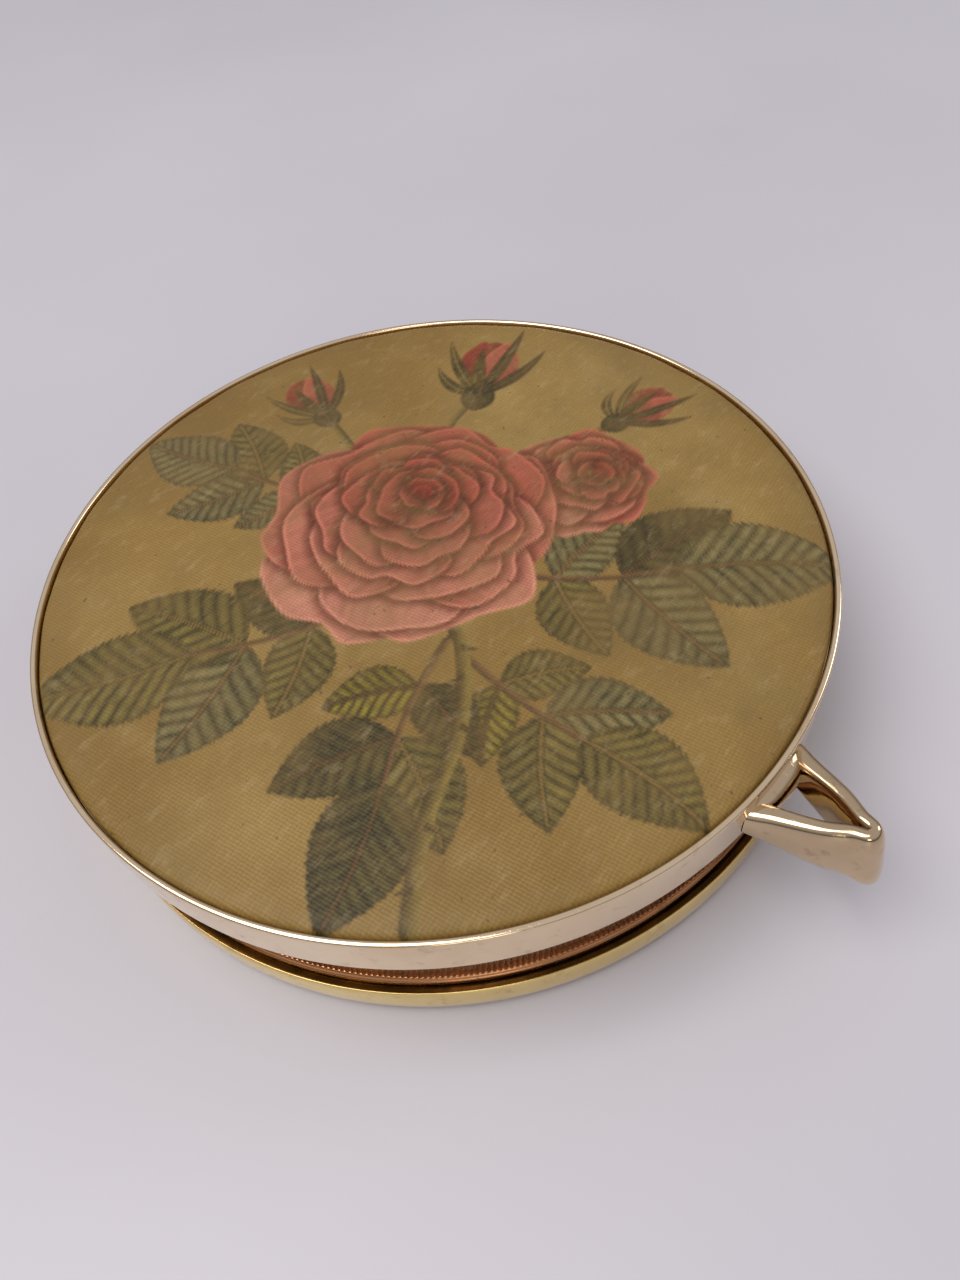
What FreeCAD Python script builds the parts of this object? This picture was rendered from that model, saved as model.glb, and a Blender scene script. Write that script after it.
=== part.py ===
import FreeCAD, Part
import math
import os
import re
import Sketcher

# Round powder compact, lid closed.  Millimetres, +Z up.
# The origin is the centre of the flat underside.  The thumb loop points to -Y and the hinge is at +Y.
# Bodies of revolution stand on the Z axis.  Pieces that sit at one side are drawn on +X and turned
# into place by their Placement: +90 degrees about Z for the hinge, -90 degrees for the front.

DIMENSIONS = {
    # Base cup: flat bottom, bulged foot ring and a ledge for the waist band
    "cup_radius": 35.7,
    "cup_height": 4.4,
    "cup_wall": 0.8,
    "cup_shoulder": 1.6,
    "cup_heel": 1.1,
    "ledge_bore": 33.85,
    "bead_groove_inner": 30.9,
    "bead_groove_width": 1.4,
    "bead_groove_depth": 0.3,
    # Waist band between the foot ring and the lid
    "waist_radius": 34.5,
    "waist_wall": 0.6,
    "waist_top": 11.2,
    "waist_foot_radius": 34.8,
    "waist_foot_height": 0.4,
    # Inner pan and its neck, which the lid closes over
    "pan_radius": 33.8,
    "pan_wall": 0.5,
    "neck_radius": 34.4,
    "neck_top": 13.3,
    "neck_round": 0.35,
    "catch_window_width": 9.6,
    "catch_window_depth": 0.88,
    "catch_window_sill": 11.5,
    # Powder well with its deck, the powder and the sifter
    "well_radius": 28.5,
    "well_wall": 0.5,
    "deck_radius": 33.2,
    "deck_top": 9.4,
    "powder_gap": 0.05,
    "powder_top": 7.4,
    "sifter_flange_radius": 29.4,
    "sifter_flange": 0.4,
    "sifter_collar_radius": 27.95,
    "sifter_collar_wall": 0.6,
    "sifter_depth": 1.4,
    "sifter_window": 24.8,
    "sifter_lip": 0.25,
    "gauze": 0.2,
    "mesh_ring_wall": 0.9,
    "mesh_ring_height": 0.8,
    # Puff that rests on the sifter
    "puff_radius": 31.0,
    "puff_gap": 0.15,
    "puff_pad_height": 2.3,
    "puff_back_height": 0.35,
    "puff_round": 0.9,
    "ribbon_width": 10.5,
    "ribbon_length": 50.0,
    "ribbon": 0.25,
    # Lid rim: skirt, shelf and the thin lip around the fabric
    "lid_radius": 36.0,
    "lid_top": 16.0,
    "skirt_foot": 11.35,
    "skirt_wall": 0.7,
    "lip_wall": 0.55,
    "lip_round": 0.25,
    "shelf_top": 14.95,
    "shelf": 0.4,
    "shelf_bore": 31.0,
    # Panel stack above the shelf
    "panel_gap": 0.1,
    "panel_disc": 0.4,
    "fabric": 0.2,
    "fabric_edge_top": 15.75,
    "fabric_shoulder": 1.6,
    "dome_rise": 0.75,
    # Mirror stack under the shelf
    "mirror_radius": 33.6,
    "mirror_card": 0.3,
    "mirror": 0.5,
    "bezel_radius": 34.4,
    "bezel_wall": 0.7,
    "bezel_lip": 0.2,
    "bezel_window": 32.2,
    # Hinge
    "hinge_reach": 35.65,
    "hinge_level": 11.0,
    "knuckle_radius": 0.95,
    "pin_radius": 0.45,
    "pin_clearance": 0.05,
    "barrel_length": 18.0,
    "lid_knuckle_length": 9.8,
    "knuckle_gap": 0.1,
    "notch_radius": 1.15,
    "leaf": 0.4,
    "leaf_angle": 28.0,
    "lid_leaf_angle": 15.5,
    "lid_leaf_top": 14.4,
    "lid_leaf_inner": 34.82,
    "base_leaf_foot": 8.4,
    "pin_head": 0.2,
    # Front catch
    "catch_spring_inner": 34.0,
    "catch_spring_leaf": 0.25,
    "catch_spring_foot": 11.6,
    "catch_spring_top": 13.1,
    "catch_angle": 10.0,
    "catch_bump_reach": 34.9,
    "catch_bump_foot": 12.25,
    "catch_bump_top": 12.85,
    "catch_bump_angle": 7.0,
    "tongue_inner": 34.97,
    "tongue_foot": 11.45,
    "tongue_top": 12.05,
    "tongue_angle": 9.0,
    # Thumb loop
    "loop_root_reach": 35.7,
    "loop_root_side": 2.85,
    "loop_root_level": 12.85,
    "loop_root_half_height": 1.65,
    "loop_root_half_width": 0.8,
    "loop_nose_reach": 44.2,
    "loop_nose_side": 0.35,
    "loop_nose_level": 11.8,
    "loop_nose_half_height": 3.35,
    "loop_nose_half_width": 1.0,
    "loop_ball_radius": 1.55,
    "loop_ball_reach": 36.7,
    "loop_plate": 0.55,
    "loop_plate_foot": 10.9,
    "loop_plate_top": 14.3,
    "loop_plate_angle": 13.0,
}

HINGE_SIDE = 90.0
FRONT_SIDE = -90.0
NODES = []

doc = FreeCAD.newDocument("powder_compact")
sheet = doc.addObject("Spreadsheet::Sheet", "Sizes")
for row, (alias, number) in enumerate(DIMENSIONS.items(), start=1):
    sheet.set("A%d" % row, alias)
    sheet.set("B%d" % row, str(number))
    sheet.setAlias("B%d" % row, alias)
doc.recompute()


def formula(text):
    """The text with each word turned into a reference to its cell of the sheet."""
    return re.sub(r"[a-z][a-z_]*", lambda word: "Sizes." + word.group(), text)


def size(text):
    """The present value of a formula, in millimetres or degrees."""
    return float(sheet.evalExpression(formula(text)))


def new_body(label, side=0.0):
    """An empty body, turned about Z to the side that its piece belongs to."""
    body = doc.addObject("PartDesign::Body", label)
    body.Label = label
    turn = FreeCAD.Rotation(FreeCAD.Vector(0, 0, 1), side)
    body.Placement = FreeCAD.Placement(FreeCAD.Vector(0, 0, 0), turn)
    NODES.append(body)
    return body


def origin_plane(body, role):
    """One of the body's own origin planes."""
    return next(item for item in body.Origin.OriginFeatures if item.Role == role)


def new_sketch(body, name, role):
    """A sketch attached flat to one of the body's origin planes."""
    sketch = body.newObject("Sketcher::SketchObject", name)
    sketch.AttachmentSupport = (origin_plane(body, role), [""])
    sketch.MapMode = "FlatFace"
    return sketch


def bind(sketch, kind, places, text):
    """Add one dimension to the sketch and bind it to a formula."""
    index = sketch.addConstraint(Sketcher.Constraint(kind, *places, size(text)))
    sketch.setExpression("Constraints[%d]" % index, formula(text))


def draw_outline(sketch, points):
    """Draw a closed outline through points given as (across, up) formulas."""
    corners = [FreeCAD.Vector(size(across), size(up), 0) for across, up in points]
    for index, corner in enumerate(corners):
        following = corners[(index + 1) % len(corners)]
        sketch.addGeometry(Part.LineSegment(corner, following), False)
    for index in range(len(corners)):
        following = (index + 1) % len(corners)
        sketch.addConstraint(Sketcher.Constraint("Coincident", index, 2, following, 1))
    for index, (across, up) in enumerate(points):
        if across == "0":
            sketch.addConstraint(Sketcher.Constraint("PointOnObject", index, 1, -2))
        else:
            bind(sketch, "DistanceX", (-1, 1, index, 1), across)
        bind(sketch, "DistanceY", (-1, 1, index, 1), up)


def revolve(body, points, angle=None):
    """Turn an outline about Z into a full ring or disc, or into a sector centred on +X."""
    sketch = new_sketch(body, body.Label + "_outline", "XZ_Plane")
    draw_outline(sketch, points)
    solid = body.newObject("PartDesign::Revolution", body.Label + "_turned")
    solid.Profile = sketch
    solid.ReferenceAxis = (sketch, ["V_Axis"])
    solid.Midplane = angle is not None
    if angle:
        solid.setExpression("Angle", formula(angle))
    body.Tip = solid
    doc.recompute()
    return solid


def add_sector(body, name, points, angle):
    """Add another sector to a body that already has a solid."""
    sketch = new_sketch(body, name + "_outline", "XZ_Plane")
    draw_outline(sketch, points)
    solid = body.newObject("PartDesign::Revolution", name)
    solid.Profile = sketch
    solid.ReferenceAxis = (sketch, ["V_Axis"])
    solid.Midplane = True
    solid.setExpression("Angle", formula(angle))
    body.Tip = solid
    doc.recompute()
    return solid


def rectangle(inner, outer, foot, top):
    """The four corners of an upright rectangle."""
    return [(inner, foot), (outer, foot), (outer, top), (inner, top)]


def circle_sketch(body, name, across, up, radius):
    """A circle on the upright plane through the piece, for a bar along Y."""
    sketch = new_sketch(body, name, "XZ_Plane")
    middle = FreeCAD.Vector(size(across), size(up), 0)
    normal = FreeCAD.Vector(0, 0, 1)
    sketch.addGeometry(Part.Circle(middle, normal, size(radius)), False)
    bind(sketch, "DistanceX", (-1, 1, 0, 3), across)
    bind(sketch, "DistanceY", (-1, 1, 0, 3), up)
    bind(sketch, "Radius", (0,), radius)
    return sketch


def pad(body, name, sketch, length):
    """Add the sketch's shape, half of the length to each side of its plane."""
    solid = body.newObject("PartDesign::Pad", name)
    solid.Profile = sketch
    solid.SideType = "Symmetric"
    solid.setExpression("Length", formula(length))
    body.Tip = solid
    doc.recompute()
    return solid


def pocket(body, name, sketch, length):
    """Cut the sketch's shape, half of the length to each side of its plane."""
    before = body.Shape.Volume
    cut = body.newObject("PartDesign::Pocket", name)
    cut.Profile = sketch
    cut.SideType = "Symmetric"
    cut.setExpression("Length", formula(length))
    body.Tip = cut
    doc.recompute()
    if body.Shape.Volume > before - 1e-3:
        raise RuntimeError(name + " cuts nothing")
    return cut


def round_rings(body, name, radius, rings):
    """Round the circular edges at the given (radius, height) formulas."""
    base = body.Tip
    wanted = [(size(across), size(up)) for across, up in rings]
    names = []
    for index, edge in enumerate(base.Shape.Edges, start=1):
        if not isinstance(edge.Curve, Part.Circle):
            continue
        found = (edge.Curve.Radius, edge.Curve.Center.z)
        if any(math.dist(found, ring) < 1e-4 for ring in wanted):
            names.append("Edge%d" % index)
    if len(names) < len(wanted):
        raise RuntimeError(name + " finds too few edges")
    fillet = body.newObject("PartDesign::Fillet", name)
    fillet.Base = (base, names)
    fillet.setExpression("Radius", formula(radius))
    body.Tip = fillet
    doc.recompute()
    return fillet


# ---------------------------------------------------------------- base


def make_base_cup():
    """Drawn cup: flat underside with a bead groove, bulged foot ring, ledge for the waist."""
    body = new_body("base_cup")
    groove_end = "bead_groove_inner + bead_groove_width"
    groove_top_start = "bead_groove_inner + bead_groove_depth"
    groove_top_end = "bead_groove_inner + bead_groove_width - bead_groove_depth"
    revolve(body, [
        ("0", "0"),
        ("bead_groove_inner", "0"),
        (groove_top_start, "bead_groove_depth"),
        (groove_top_end, "bead_groove_depth"),
        (groove_end, "0"),
        ("cup_radius", "0"),
        ("cup_radius", "cup_height"),
        ("ledge_bore", "cup_height"),
        ("ledge_bore", "cup_height - cup_wall"),
        ("cup_radius - cup_wall", "cup_height - cup_wall"),
        ("cup_radius - cup_wall", "cup_wall"),
        ("0", "cup_wall"),
    ])
    round_rings(body, "cup_shoulder_round", "cup_shoulder", [("cup_radius", "cup_height")])
    round_rings(body, "cup_heel_round", "cup_heel", [("cup_radius", "0")])


def make_waist_band():
    """Recessed band with a small foot bead, standing on the cup's ledge."""
    body = new_body("waist_band")
    revolve(body, [
        ("waist_radius - waist_wall", "cup_height"),
        ("waist_foot_radius", "cup_height"),
        ("waist_foot_radius", "cup_height + waist_foot_height"),
        ("waist_radius", "cup_height + waist_foot_height"),
        ("waist_radius", "waist_top"),
        ("waist_radius - waist_wall", "waist_top"),
    ])


def make_inner_pan():
    """Pan that lines the base; its stepped neck stands on the waist band inside the lid."""
    body = new_body("inner_pan", FRONT_SIDE)
    inside = "pan_radius - pan_wall"
    revolve(body, [
        ("0", "cup_wall"),
        ("pan_radius", "cup_wall"),
        ("pan_radius", "waist_top"),
        ("neck_radius", "waist_top"),
        ("neck_radius", "neck_top"),
        (inside, "neck_top"),
        (inside, "cup_wall + pan_wall"),
        ("0", "cup_wall + pan_wall"),
    ])
    round_rings(body, "neck_round_edge", "neck_round", [("neck_radius", "neck_top")])
    window = new_sketch(body, "catch_window_outline", "XZ_Plane")
    draw_outline(window, rectangle(
        "neck_radius - catch_window_depth", "neck_radius + catch_window_depth",
        "catch_window_sill", "neck_top + neck_round"))
    pocket(body, "catch_window", window, "catch_window_width")


def make_powder_well():
    """Spun cup for the powder, with the deck that fills the pan around it."""
    body = new_body("powder_well")
    floor = "cup_wall + pan_wall"
    revolve(body, [
        ("0", floor),
        ("well_radius", floor),
        ("well_radius", "deck_top - well_wall"),
        ("deck_radius", "deck_top - well_wall"),
        ("deck_radius", "deck_top"),
        ("well_radius - well_wall", "deck_top"),
        ("well_radius - well_wall", floor + " + well_wall"),
        ("0", floor + " + well_wall"),
    ])


def make_powder():
    """The loose powder, as one low cake."""
    body = new_body("powder_fill")
    floor = "cup_wall + pan_wall + well_wall"
    edge = "well_radius - well_wall - powder_gap"
    revolve(body, rectangle("0", edge, floor, "powder_top"))


def make_sifter():
    """Sifter frame, the gauze under its lip and the ring that holds the gauze taut."""
    flange_top = "deck_top + sifter_flange"
    collar_bore = "sifter_collar_radius - sifter_collar_wall"
    gauze_top = flange_top + " - sifter_lip - sifter_lip"
    frame = new_body("sifter_frame")
    revolve(frame, [
        ("sifter_window", gauze_top),
        (collar_bore, gauze_top),
        (collar_bore, "deck_top - sifter_depth"),
        ("sifter_collar_radius", "deck_top - sifter_depth"),
        ("sifter_collar_radius", "deck_top"),
        ("sifter_flange_radius", "deck_top"),
        ("sifter_flange_radius", flange_top),
        ("sifter_window", flange_top),
    ])
    gauze = new_body("sifter_mesh")
    gauze_foot = gauze_top + " - gauze"
    revolve(gauze, rectangle("0", collar_bore, gauze_foot, gauze_top))
    ring = new_body("mesh_ring")
    ring_bore = collar_bore + " - mesh_ring_wall"
    revolve(ring, rectangle(ring_bore, collar_bore, gauze_foot + " - mesh_ring_height", gauze_foot))


def make_puff():
    """Soft pad, its stiff satin back and the ribbon that the fingers slip under."""
    pad_foot = "deck_top + sifter_flange + puff_gap"
    pad_top = pad_foot + " + puff_pad_height"
    back_top = pad_top + " + puff_back_height"
    soft = new_body("puff_pad")
    revolve(soft, rectangle("0", "puff_radius", pad_foot, pad_top))
    round_rings(soft, "puff_pad_round", "puff_round", [("puff_radius", pad_foot)])
    back = new_body("puff_back")
    revolve(back, rectangle("0", "puff_radius", pad_top, back_top))
    ribbon = new_body("puff_ribbon")
    strip = new_sketch(ribbon, "ribbon_outline", "XZ_Plane")
    half = "ribbon_length / 2"
    draw_outline(strip, rectangle("0 - " + half, half, back_top, back_top + " + ribbon"))
    pad(ribbon, "ribbon_strip", strip, "ribbon_width")


# ---------------------------------------------------------------- lid


def make_lid_rim():
    """Lid rim: skirt over the neck, shelf between panel and mirror, thin lip at the top."""
    body = new_body("lid_rim", HINGE_SIDE)
    skirt_inside = "lid_radius - skirt_wall"
    lip_inside = "lid_radius - lip_wall"
    revolve(body, [
        (skirt_inside, "skirt_foot"),
        ("lid_radius", "skirt_foot"),
        ("lid_radius", "lid_top"),
        (lip_inside, "lid_top"),
        (lip_inside, "shelf_top"),
        ("shelf_bore", "shelf_top"),
        ("shelf_bore", "shelf_top - shelf"),
        (skirt_inside, "shelf_top - shelf"),
    ])
    edges = [("lid_radius", "lid_top"), ("lid_radius", "skirt_foot")]
    round_rings(body, "rim_edge_round", "lip_round", edges)
    notch = circle_sketch(body, "notch_outline", "hinge_reach", "hinge_level", "notch_radius")
    pocket(body, "hinge_notch", notch, "barrel_length + notch_radius")


def make_panel():
    """Stiff disc, padding and the fabric stretched over them, inside the lip of the rim."""
    edge = "lid_radius - lip_wall - panel_gap"
    disc_top = "shelf_top + panel_disc"
    disc = new_body("panel_disc")
    revolve(disc, rectangle("0", edge + " - fabric", "shelf_top", disc_top))
    soft = new_body("panel_padding")
    shoulder = edge + " - fabric - fabric_shoulder"
    revolve(soft, [
        ("0", disc_top),
        (edge + " - fabric - panel_gap", disc_top),
        (edge + " - fabric - panel_gap", "fabric_edge_top - fabric - panel_gap"),
        (shoulder, "lid_top - panel_gap"),
        ("0", "fabric_edge_top + dome_rise - fabric"),
    ])
    cloth = new_body("fabric_panel")
    revolve(cloth, [
        (edge + " - fabric", "shelf_top"),
        (edge, "shelf_top"),
        (edge, "fabric_edge_top"),
        (shoulder, "lid_top - panel_gap + fabric"),
        ("0", "fabric_edge_top + dome_rise"),
        ("0", "fabric_edge_top + dome_rise - fabric"),
        (shoulder, "lid_top - panel_gap"),
        (edge + " - fabric", "fabric_edge_top - fabric"),
    ])


def make_mirror():
    """Card, mirror glass and the bezel that holds both against the shelf."""
    ceiling = "shelf_top - shelf"
    glass_top = ceiling + " - mirror_card"
    glass_foot = glass_top + " - mirror"
    card = new_body("mirror_card")
    revolve(card, rectangle("0", "mirror_radius", glass_top, ceiling))
    glass = new_body("mirror")
    revolve(glass, rectangle("0", "mirror_radius", glass_foot, glass_top))
    bezel = new_body("mirror_bezel")
    revolve(bezel, [
        ("bezel_radius - bezel_wall", ceiling),
        ("bezel_radius", ceiling),
        ("bezel_radius", glass_foot + " - bezel_lip"),
        ("bezel_window", glass_foot + " - bezel_lip"),
        ("bezel_window", glass_foot),
        ("bezel_radius - bezel_wall", glass_foot),
    ])


# ---------------------------------------------------------------- hinge and catch


def barrel(body, name, radius, length, cut=False):
    """A bar or a bore on the hinge axis."""
    sketch = circle_sketch(body, name + "_outline", "hinge_reach", "hinge_level", radius)
    make = pocket if cut else pad
    return make(body, name, sketch, length)


def make_base_hinge():
    """Leaf on the back of the waist, with one knuckle at each end of the barrel."""
    body = new_body("base_hinge", HINGE_SIDE)
    leaf_out = "waist_radius + leaf"
    revolve(body, rectangle("waist_radius", leaf_out, "base_leaf_foot", "hinge_level"), "leaf_angle")
    web = new_sketch(body, "knuckle_web_outline", "XZ_Plane")
    web_inner = "waist_radius - waist_wall - leaf"
    draw_outline(web, rectangle(
        web_inner, "hinge_reach", "hinge_level - knuckle_radius", "hinge_level"))
    pad(body, "knuckle_web", web, "barrel_length")
    barrel(body, "knuckles", "knuckle_radius", "barrel_length")
    barrel(body, "middle_gap", "notch_radius", "lid_knuckle_length + 2 * knuckle_gap", cut=True)
    clear_waist(body)
    barrel(body, "pin_hole", "pin_radius", "barrel_length + 1", cut=True)


def clear_waist(body):
    """Cut away what reaches inside the waist band."""
    sketch = new_sketch(body, "waist_clearance_outline", "XZ_Plane")
    draw_outline(sketch, rectangle("0", "waist_radius", "base_leaf_foot - 1", "neck_top"))
    before = body.Shape.Volume
    cut = body.newObject("PartDesign::Groove", "waist_clearance")
    cut.Profile = sketch
    cut.ReferenceAxis = (sketch, ["V_Axis"])
    body.Tip = cut
    doc.recompute()
    if body.Shape.Volume > before - 1e-3:
        raise RuntimeError("waist_clearance cuts nothing")


def make_lid_hinge():
    """Leaf inside the rim's skirt, with the middle knuckle of the barrel."""
    body = new_body("lid_hinge", HINGE_SIDE)
    skirt_inside = "lid_radius - skirt_wall"
    revolve(body, rectangle("lid_leaf_inner", skirt_inside, "hinge_level", "lid_leaf_top"),
            "lid_leaf_angle")
    barrel(body, "lid_knuckle", "knuckle_radius", "lid_knuckle_length")
    barrel(body, "pin_bore", "pin_radius + pin_clearance", "barrel_length", cut=True)


def make_hinge_pin():
    """Steel pin through all the knuckles."""
    body = new_body("hinge_pin", HINGE_SIDE)
    barrel(body, "pin", "pin_radius", "barrel_length + 2 * pin_head")


def make_catch():
    """Leaf spring with a bump in the neck's window, and the tongue under the lid's skirt."""
    spring = new_body("catch_spring", FRONT_SIDE)
    leaf_out = "catch_spring_inner + catch_spring_leaf"
    revolve(spring, rectangle(
        "catch_spring_inner", leaf_out, "catch_spring_foot", "catch_spring_top"), "catch_angle")
    bevel = "(catch_bump_top - catch_bump_foot) / 4"
    add_sector(spring, "catch_bump", [
        ("catch_spring_inner", "catch_bump_foot"),
        ("catch_bump_reach - catch_spring_leaf", "catch_bump_foot"),
        ("catch_bump_reach", "catch_bump_foot + " + bevel),
        ("catch_bump_reach", "catch_bump_top - " + bevel),
        ("catch_bump_reach - catch_spring_leaf", "catch_bump_top"),
        ("catch_spring_inner", "catch_bump_top"),
    ], "catch_bump_angle")
    tongue = new_body("catch_tongue", FRONT_SIDE)
    revolve(tongue, rectangle(
        "tongue_inner", "lid_radius - skirt_wall", "tongue_foot", "tongue_top"), "tongue_angle")


# ---------------------------------------------------------------- thumb loop


def ellipse_section(body, name, reach, side, level, half_width, half_height):
    """An upright ellipse, standing across the direction of reach."""
    sketch = new_sketch(body, name, "YZ_Plane")
    sketch.setExpression(".AttachmentOffset.Base.z", formula(reach))
    middle = FreeCAD.Vector(size(side), size(level), 0)
    top = middle + FreeCAD.Vector(0, size(half_height), 0)
    flank = middle + FreeCAD.Vector(size(half_width), 0, 0)
    sketch.addGeometry(Part.Ellipse(top, flank, middle), False)
    sketch.exposeInternalGeometry(0)
    sketch.addConstraint(Sketcher.Constraint("Vertical", 1))
    bind(sketch, "DistanceX", (-1, 1, 0, 3), side)
    bind(sketch, "DistanceY", (-1, 1, 0, 3), level)
    bind(sketch, "Distance", (1,), "2 * " + half_height)
    bind(sketch, "Distance", (2,), "2 * " + half_width)
    return sketch


def place(feature, across, aside, up):
    """Put an additive primitive's centre where three formulas say."""
    for axis, text in (("x", across), ("y", aside), ("z", up)):
        feature.setExpression(".Placement.Base." + axis, formula(text))


def add_arm(body, name, side):
    """One arm of the loop with the ball at its root; side is "1" or "-1"."""
    root = ellipse_section(
        body, name + "_root", "loop_root_reach", side + " * loop_root_side", "loop_root_level",
        "loop_root_half_width", "loop_root_half_height")
    nose = ellipse_section(
        body, name + "_nose", "loop_nose_reach", side + " * loop_nose_side", "loop_nose_level",
        "loop_nose_half_width", "loop_nose_half_height")
    arm = body.newObject("PartDesign::AdditiveLoft", name)
    arm.Profile = root
    arm.Sections = [nose]
    body.Tip = arm
    doc.recompute()
    ball = body.newObject("PartDesign::AdditiveSphere", name + "_ball")
    ball.setExpression("Radius", formula("loop_ball_radius"))
    place(ball, "loop_ball_reach", side + " * loop_root_side", "loop_root_level")
    body.Tip = ball
    doc.recompute()


def make_thumb_loop():
    """Cast loop: root plate on the skirt, two arms that deepen towards the nose."""
    body = new_body("thumb_loop", FRONT_SIDE)
    revolve(body, rectangle(
        "lid_radius", "lid_radius + loop_plate", "loop_plate_foot", "loop_plate_top"),
        "loop_plate_angle")
    add_arm(body, "left_arm", "-1")
    add_arm(body, "right_arm", "1")
    add_nose(body)
    clear_skirt(body)


def add_nose(body):
    """Upright bar with round ends, where the two arms meet."""
    radius = "loop_nose_side + loop_nose_half_width"
    straight = "loop_nose_half_height - loop_nose_side - loop_nose_half_width"
    bar = body.newObject("PartDesign::AdditiveCylinder", "nose_bar")
    bar.setExpression("Radius", formula(radius))
    bar.setExpression("Height", formula("2 * (" + straight + ")"))
    place(bar, "loop_nose_reach", "0", "loop_nose_level - (" + straight + ")")
    body.Tip = bar
    doc.recompute()
    for name, sign in (("nose_foot", "-"), ("nose_top", "+")):
        end = body.newObject("PartDesign::AdditiveSphere", name)
        end.setExpression("Radius", formula(radius))
        place(end, "loop_nose_reach", "0", "loop_nose_level %s (%s)" % (sign, straight))
        body.Tip = end
        doc.recompute()


def clear_skirt(body):
    """Cut the loop back to the outside of the lid's skirt."""
    sketch = new_sketch(body, "skirt_clearance_outline", "XZ_Plane")
    draw_outline(sketch, rectangle("0", "lid_radius", "0", "lid_top + 1"))
    before = body.Shape.Volume
    cut = body.newObject("PartDesign::Groove", "skirt_clearance")
    cut.Profile = sketch
    cut.ReferenceAxis = (sketch, ["V_Axis"])
    body.Tip = cut
    doc.recompute()
    if body.Shape.Volume > before - 1e-3:
        raise RuntimeError("skirt_clearance cuts nothing")


# ---------------------------------------------------------------- build, check and write


def check_document():
    """Stop if any object failed or any sub-part is not one valid solid shape."""
    doc.recompute()
    for item in doc.Objects:
        if "Invalid" in item.State or "Error" in item.State:
            raise RuntimeError("%s: %s" % (item.Name, item.State))
    for node in NODES:
        if node.Shape.isNull() or not node.Shape.isValid() or not node.Shape.Solids:
            raise RuntimeError(node.Label + " has no valid solid")


def write_parts():
    """Write each sub-part to a STEP file of its own name."""
    os.makedirs("parts", exist_ok=True)
    for node in NODES:
        node.Shape.exportStep("parts/%s.step" % node.Label)
        box = node.Shape.BoundBox
        print("%-16s solids %d  volume %9.2f  z %6.2f to %6.2f" % (
            node.Label, len(node.Shape.Solids), node.Shape.Volume, box.ZMin, box.ZMax))


make_base_cup()
make_waist_band()
make_inner_pan()
make_powder_well()
make_powder()
make_sifter()
make_puff()
make_lid_rim()
make_panel()
make_mirror()
make_base_hinge()
make_lid_hinge()
make_hinge_pin()
make_catch()
make_thumb_loop()
check_document()
write_parts()
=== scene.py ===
"""Powder compact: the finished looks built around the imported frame, in metres."""
import math

import bpy
import numpy as np
from mathutils import Matrix, Vector


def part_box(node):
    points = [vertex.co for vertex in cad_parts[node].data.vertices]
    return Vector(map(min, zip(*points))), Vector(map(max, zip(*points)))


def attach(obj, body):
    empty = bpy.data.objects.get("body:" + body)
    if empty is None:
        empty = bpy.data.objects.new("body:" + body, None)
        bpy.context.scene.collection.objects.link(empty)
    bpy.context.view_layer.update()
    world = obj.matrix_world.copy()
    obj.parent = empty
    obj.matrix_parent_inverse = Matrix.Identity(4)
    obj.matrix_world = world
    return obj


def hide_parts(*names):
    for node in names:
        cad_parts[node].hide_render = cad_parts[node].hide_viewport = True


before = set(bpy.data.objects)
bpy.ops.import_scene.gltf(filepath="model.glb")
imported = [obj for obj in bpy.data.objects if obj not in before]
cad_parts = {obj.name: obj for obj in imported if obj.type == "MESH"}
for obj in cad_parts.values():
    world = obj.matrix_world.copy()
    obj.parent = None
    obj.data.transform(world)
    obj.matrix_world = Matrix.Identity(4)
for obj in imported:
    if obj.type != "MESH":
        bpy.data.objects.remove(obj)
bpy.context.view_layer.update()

MM = 0.001


# ---------------------------------------------------------------- mesh tools


SHARP_CORNER = math.radians(40)


def new_piece(name, points, faces, body, node, material, smooth_faces=True):
    """A mesh piece from points in millimetres; it rides on a body and may replace a CAD node."""
    mesh = bpy.data.meshes.new(name)
    mesh.from_pydata((np.asarray(points, float) * MM).tolist(), [], faces)
    mesh.update()
    mesh.validate()
    mesh.polygons.foreach_set("use_smooth", [smooth_faces] * len(mesh.polygons))
    if smooth_faces:
        mesh.set_sharp_from_angle(angle=SHARP_CORNER)
    piece = bpy.data.objects.new(name, mesh)
    bpy.context.scene.collection.objects.link(piece)
    mesh.materials.append(material)
    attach(piece, body)
    if node:
        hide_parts(node)
    return piece


def node_box(node):
    """Lowest and highest corner of a CAD node, in millimetres."""
    low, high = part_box(node)
    return np.array(low) / MM, np.array(high) / MM


def rounded(corners, steps=4):
    """An outline of (r, z, radius) corners with each corner turned into an arc, as (r, z) points."""
    found = []
    count = len(corners)
    for index, (r, z, radius) in enumerate(corners):
        here = np.array([r, z])
        if radius == 0:
            found.append(here)
            continue
        before = np.array(corners[index - 1][:2]) - here
        after = np.array(corners[(index + 1) % count][:2]) - here
        reach_before = min(radius, 0.49 * np.hypot(*before))
        reach_after = min(radius, 0.49 * np.hypot(*after))
        start = here + before / np.hypot(*before) * reach_before
        end = here + after / np.hypot(*after) * reach_after
        for part in np.linspace(0, 1, steps + 1):
            found.append(start * (1 - part) ** 2 + here * 2 * part * (1 - part) + end * part ** 2)
    return np.array(found)


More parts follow.
